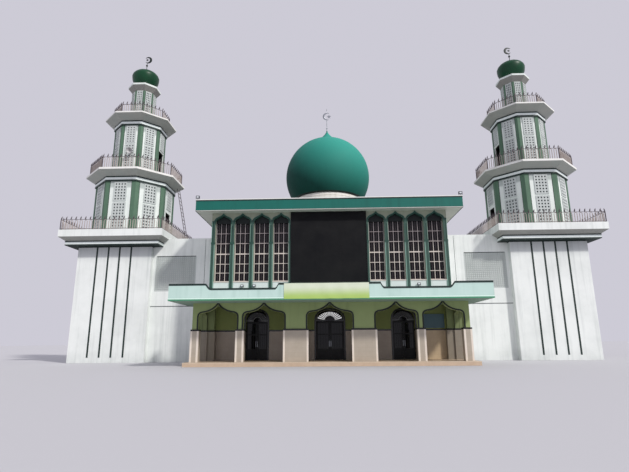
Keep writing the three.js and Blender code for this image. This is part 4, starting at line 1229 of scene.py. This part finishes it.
# %% Step nosing
bm = bmesh.new()
bar(bm, -8.285, 8.285, -0.525, -0.48, 0.19, 0.229)
for s in (-1, 1):
    x0, x1 = sorted((s * 8.24, s * 8.285))
    bar(bm, x0, x1, -0.48, 2.61, 0.19, 0.229)
make_piece("step_nosing", bm, [step_tile])

# %% [markdown]
# ## Lamps and a loudspeaker
# Floodlights stand on the roof's two front corners and small ones under the sill panels. A lamp is a
# box with a bevelled body, a bright glass and a stirrup, built at the origin, then tipped and moved.

# %% Floodlights
def floodlight(bm, x, y, z, size, tip):
    known = set(bm.verts)
    made = bar(bm, -size / 2, size / 2, -size * 0.22, size * 0.22, -size * 0.38, size * 0.38)
    rims = list({e for v in made for e in v.link_edges})
    bmesh.ops.bevel(bm, geom=rims, offset=size * 0.06, segments=2, profile=0.5, affect="EDGES", material=-1)
    bar(bm, -size * 0.3, size * 0.3, -size * 0.24, -size * 0.2, -size * 0.2, size * 0.2, 1)
    for s in (-1, 1):
        bar(bm, s * size * 0.52, s * size * 0.56, -size * 0.05, size * 0.05, -size * 0.55, size * 0.06)
    bar(bm, -size * 0.56, size * 0.56, -size * 0.05, size * 0.05, -size * 0.6, -size * 0.55)
    place_new(bm, known, Matrix.Translation((x, y, z)) @ Matrix.Rotation(tip, 4, "X"))


lamp_casting = coated("lamp_dark_casting", "#3C3E44", "#25272B", 0.5)
horn_grey = coated("horn_grey_enamel", "#B5B5B5", "#8A8B8D", 0.45)
bm = bmesh.new()
for x in (-8.66, 8.66):
    floodlight(bm, x, 2.08, 10.76, 0.24, math.radians(8))
    bar(bm, x - 0.02, x + 0.02, 2.06, 2.1, 10.55, 10.63)
for x in (-5.616, -4.84, 5.705):
    floodlight(bm, x, 2.47, 4.86, 0.2, math.radians(-10))
    bar(bm, x - 0.012, x + 0.012, 2.46, 2.592, 4.74, 4.76)
make_piece("floodlights", bm, [lamp_casting, lamp_glass])

# %% [markdown]
# A grey horn loudspeaker is fixed to the left tower. A horn is round, so its flared profile is spun
# about the upright axis, which is simpler than lofting rings, and then tipped to face the street.

# %% Horn loudspeaker
bm = bmesh.new()
bell = [(0.0, -0.18), (0.06, -0.18), (0.07, -0.02), (0.05, 0.0), (0.07, 0.1), (0.13, 0.2), (0.23, 0.27),
        (0.25, 0.275), (0.235, 0.285), (0.12, 0.215), (0.055, 0.12), (0.0, 0.1)]
turned(bm, bell, 28)
bar(bm, -0.015, 0.015, -0.02, 0.2, -0.14, -0.11)
place_new(bm, (), Matrix.Translation((-15.31, 5.98, 15.9)) @ Matrix.Rotation(math.radians(104), 4, "X"))
make_piece("horn_loudspeaker", bm, [horn_grey], smooth=35)
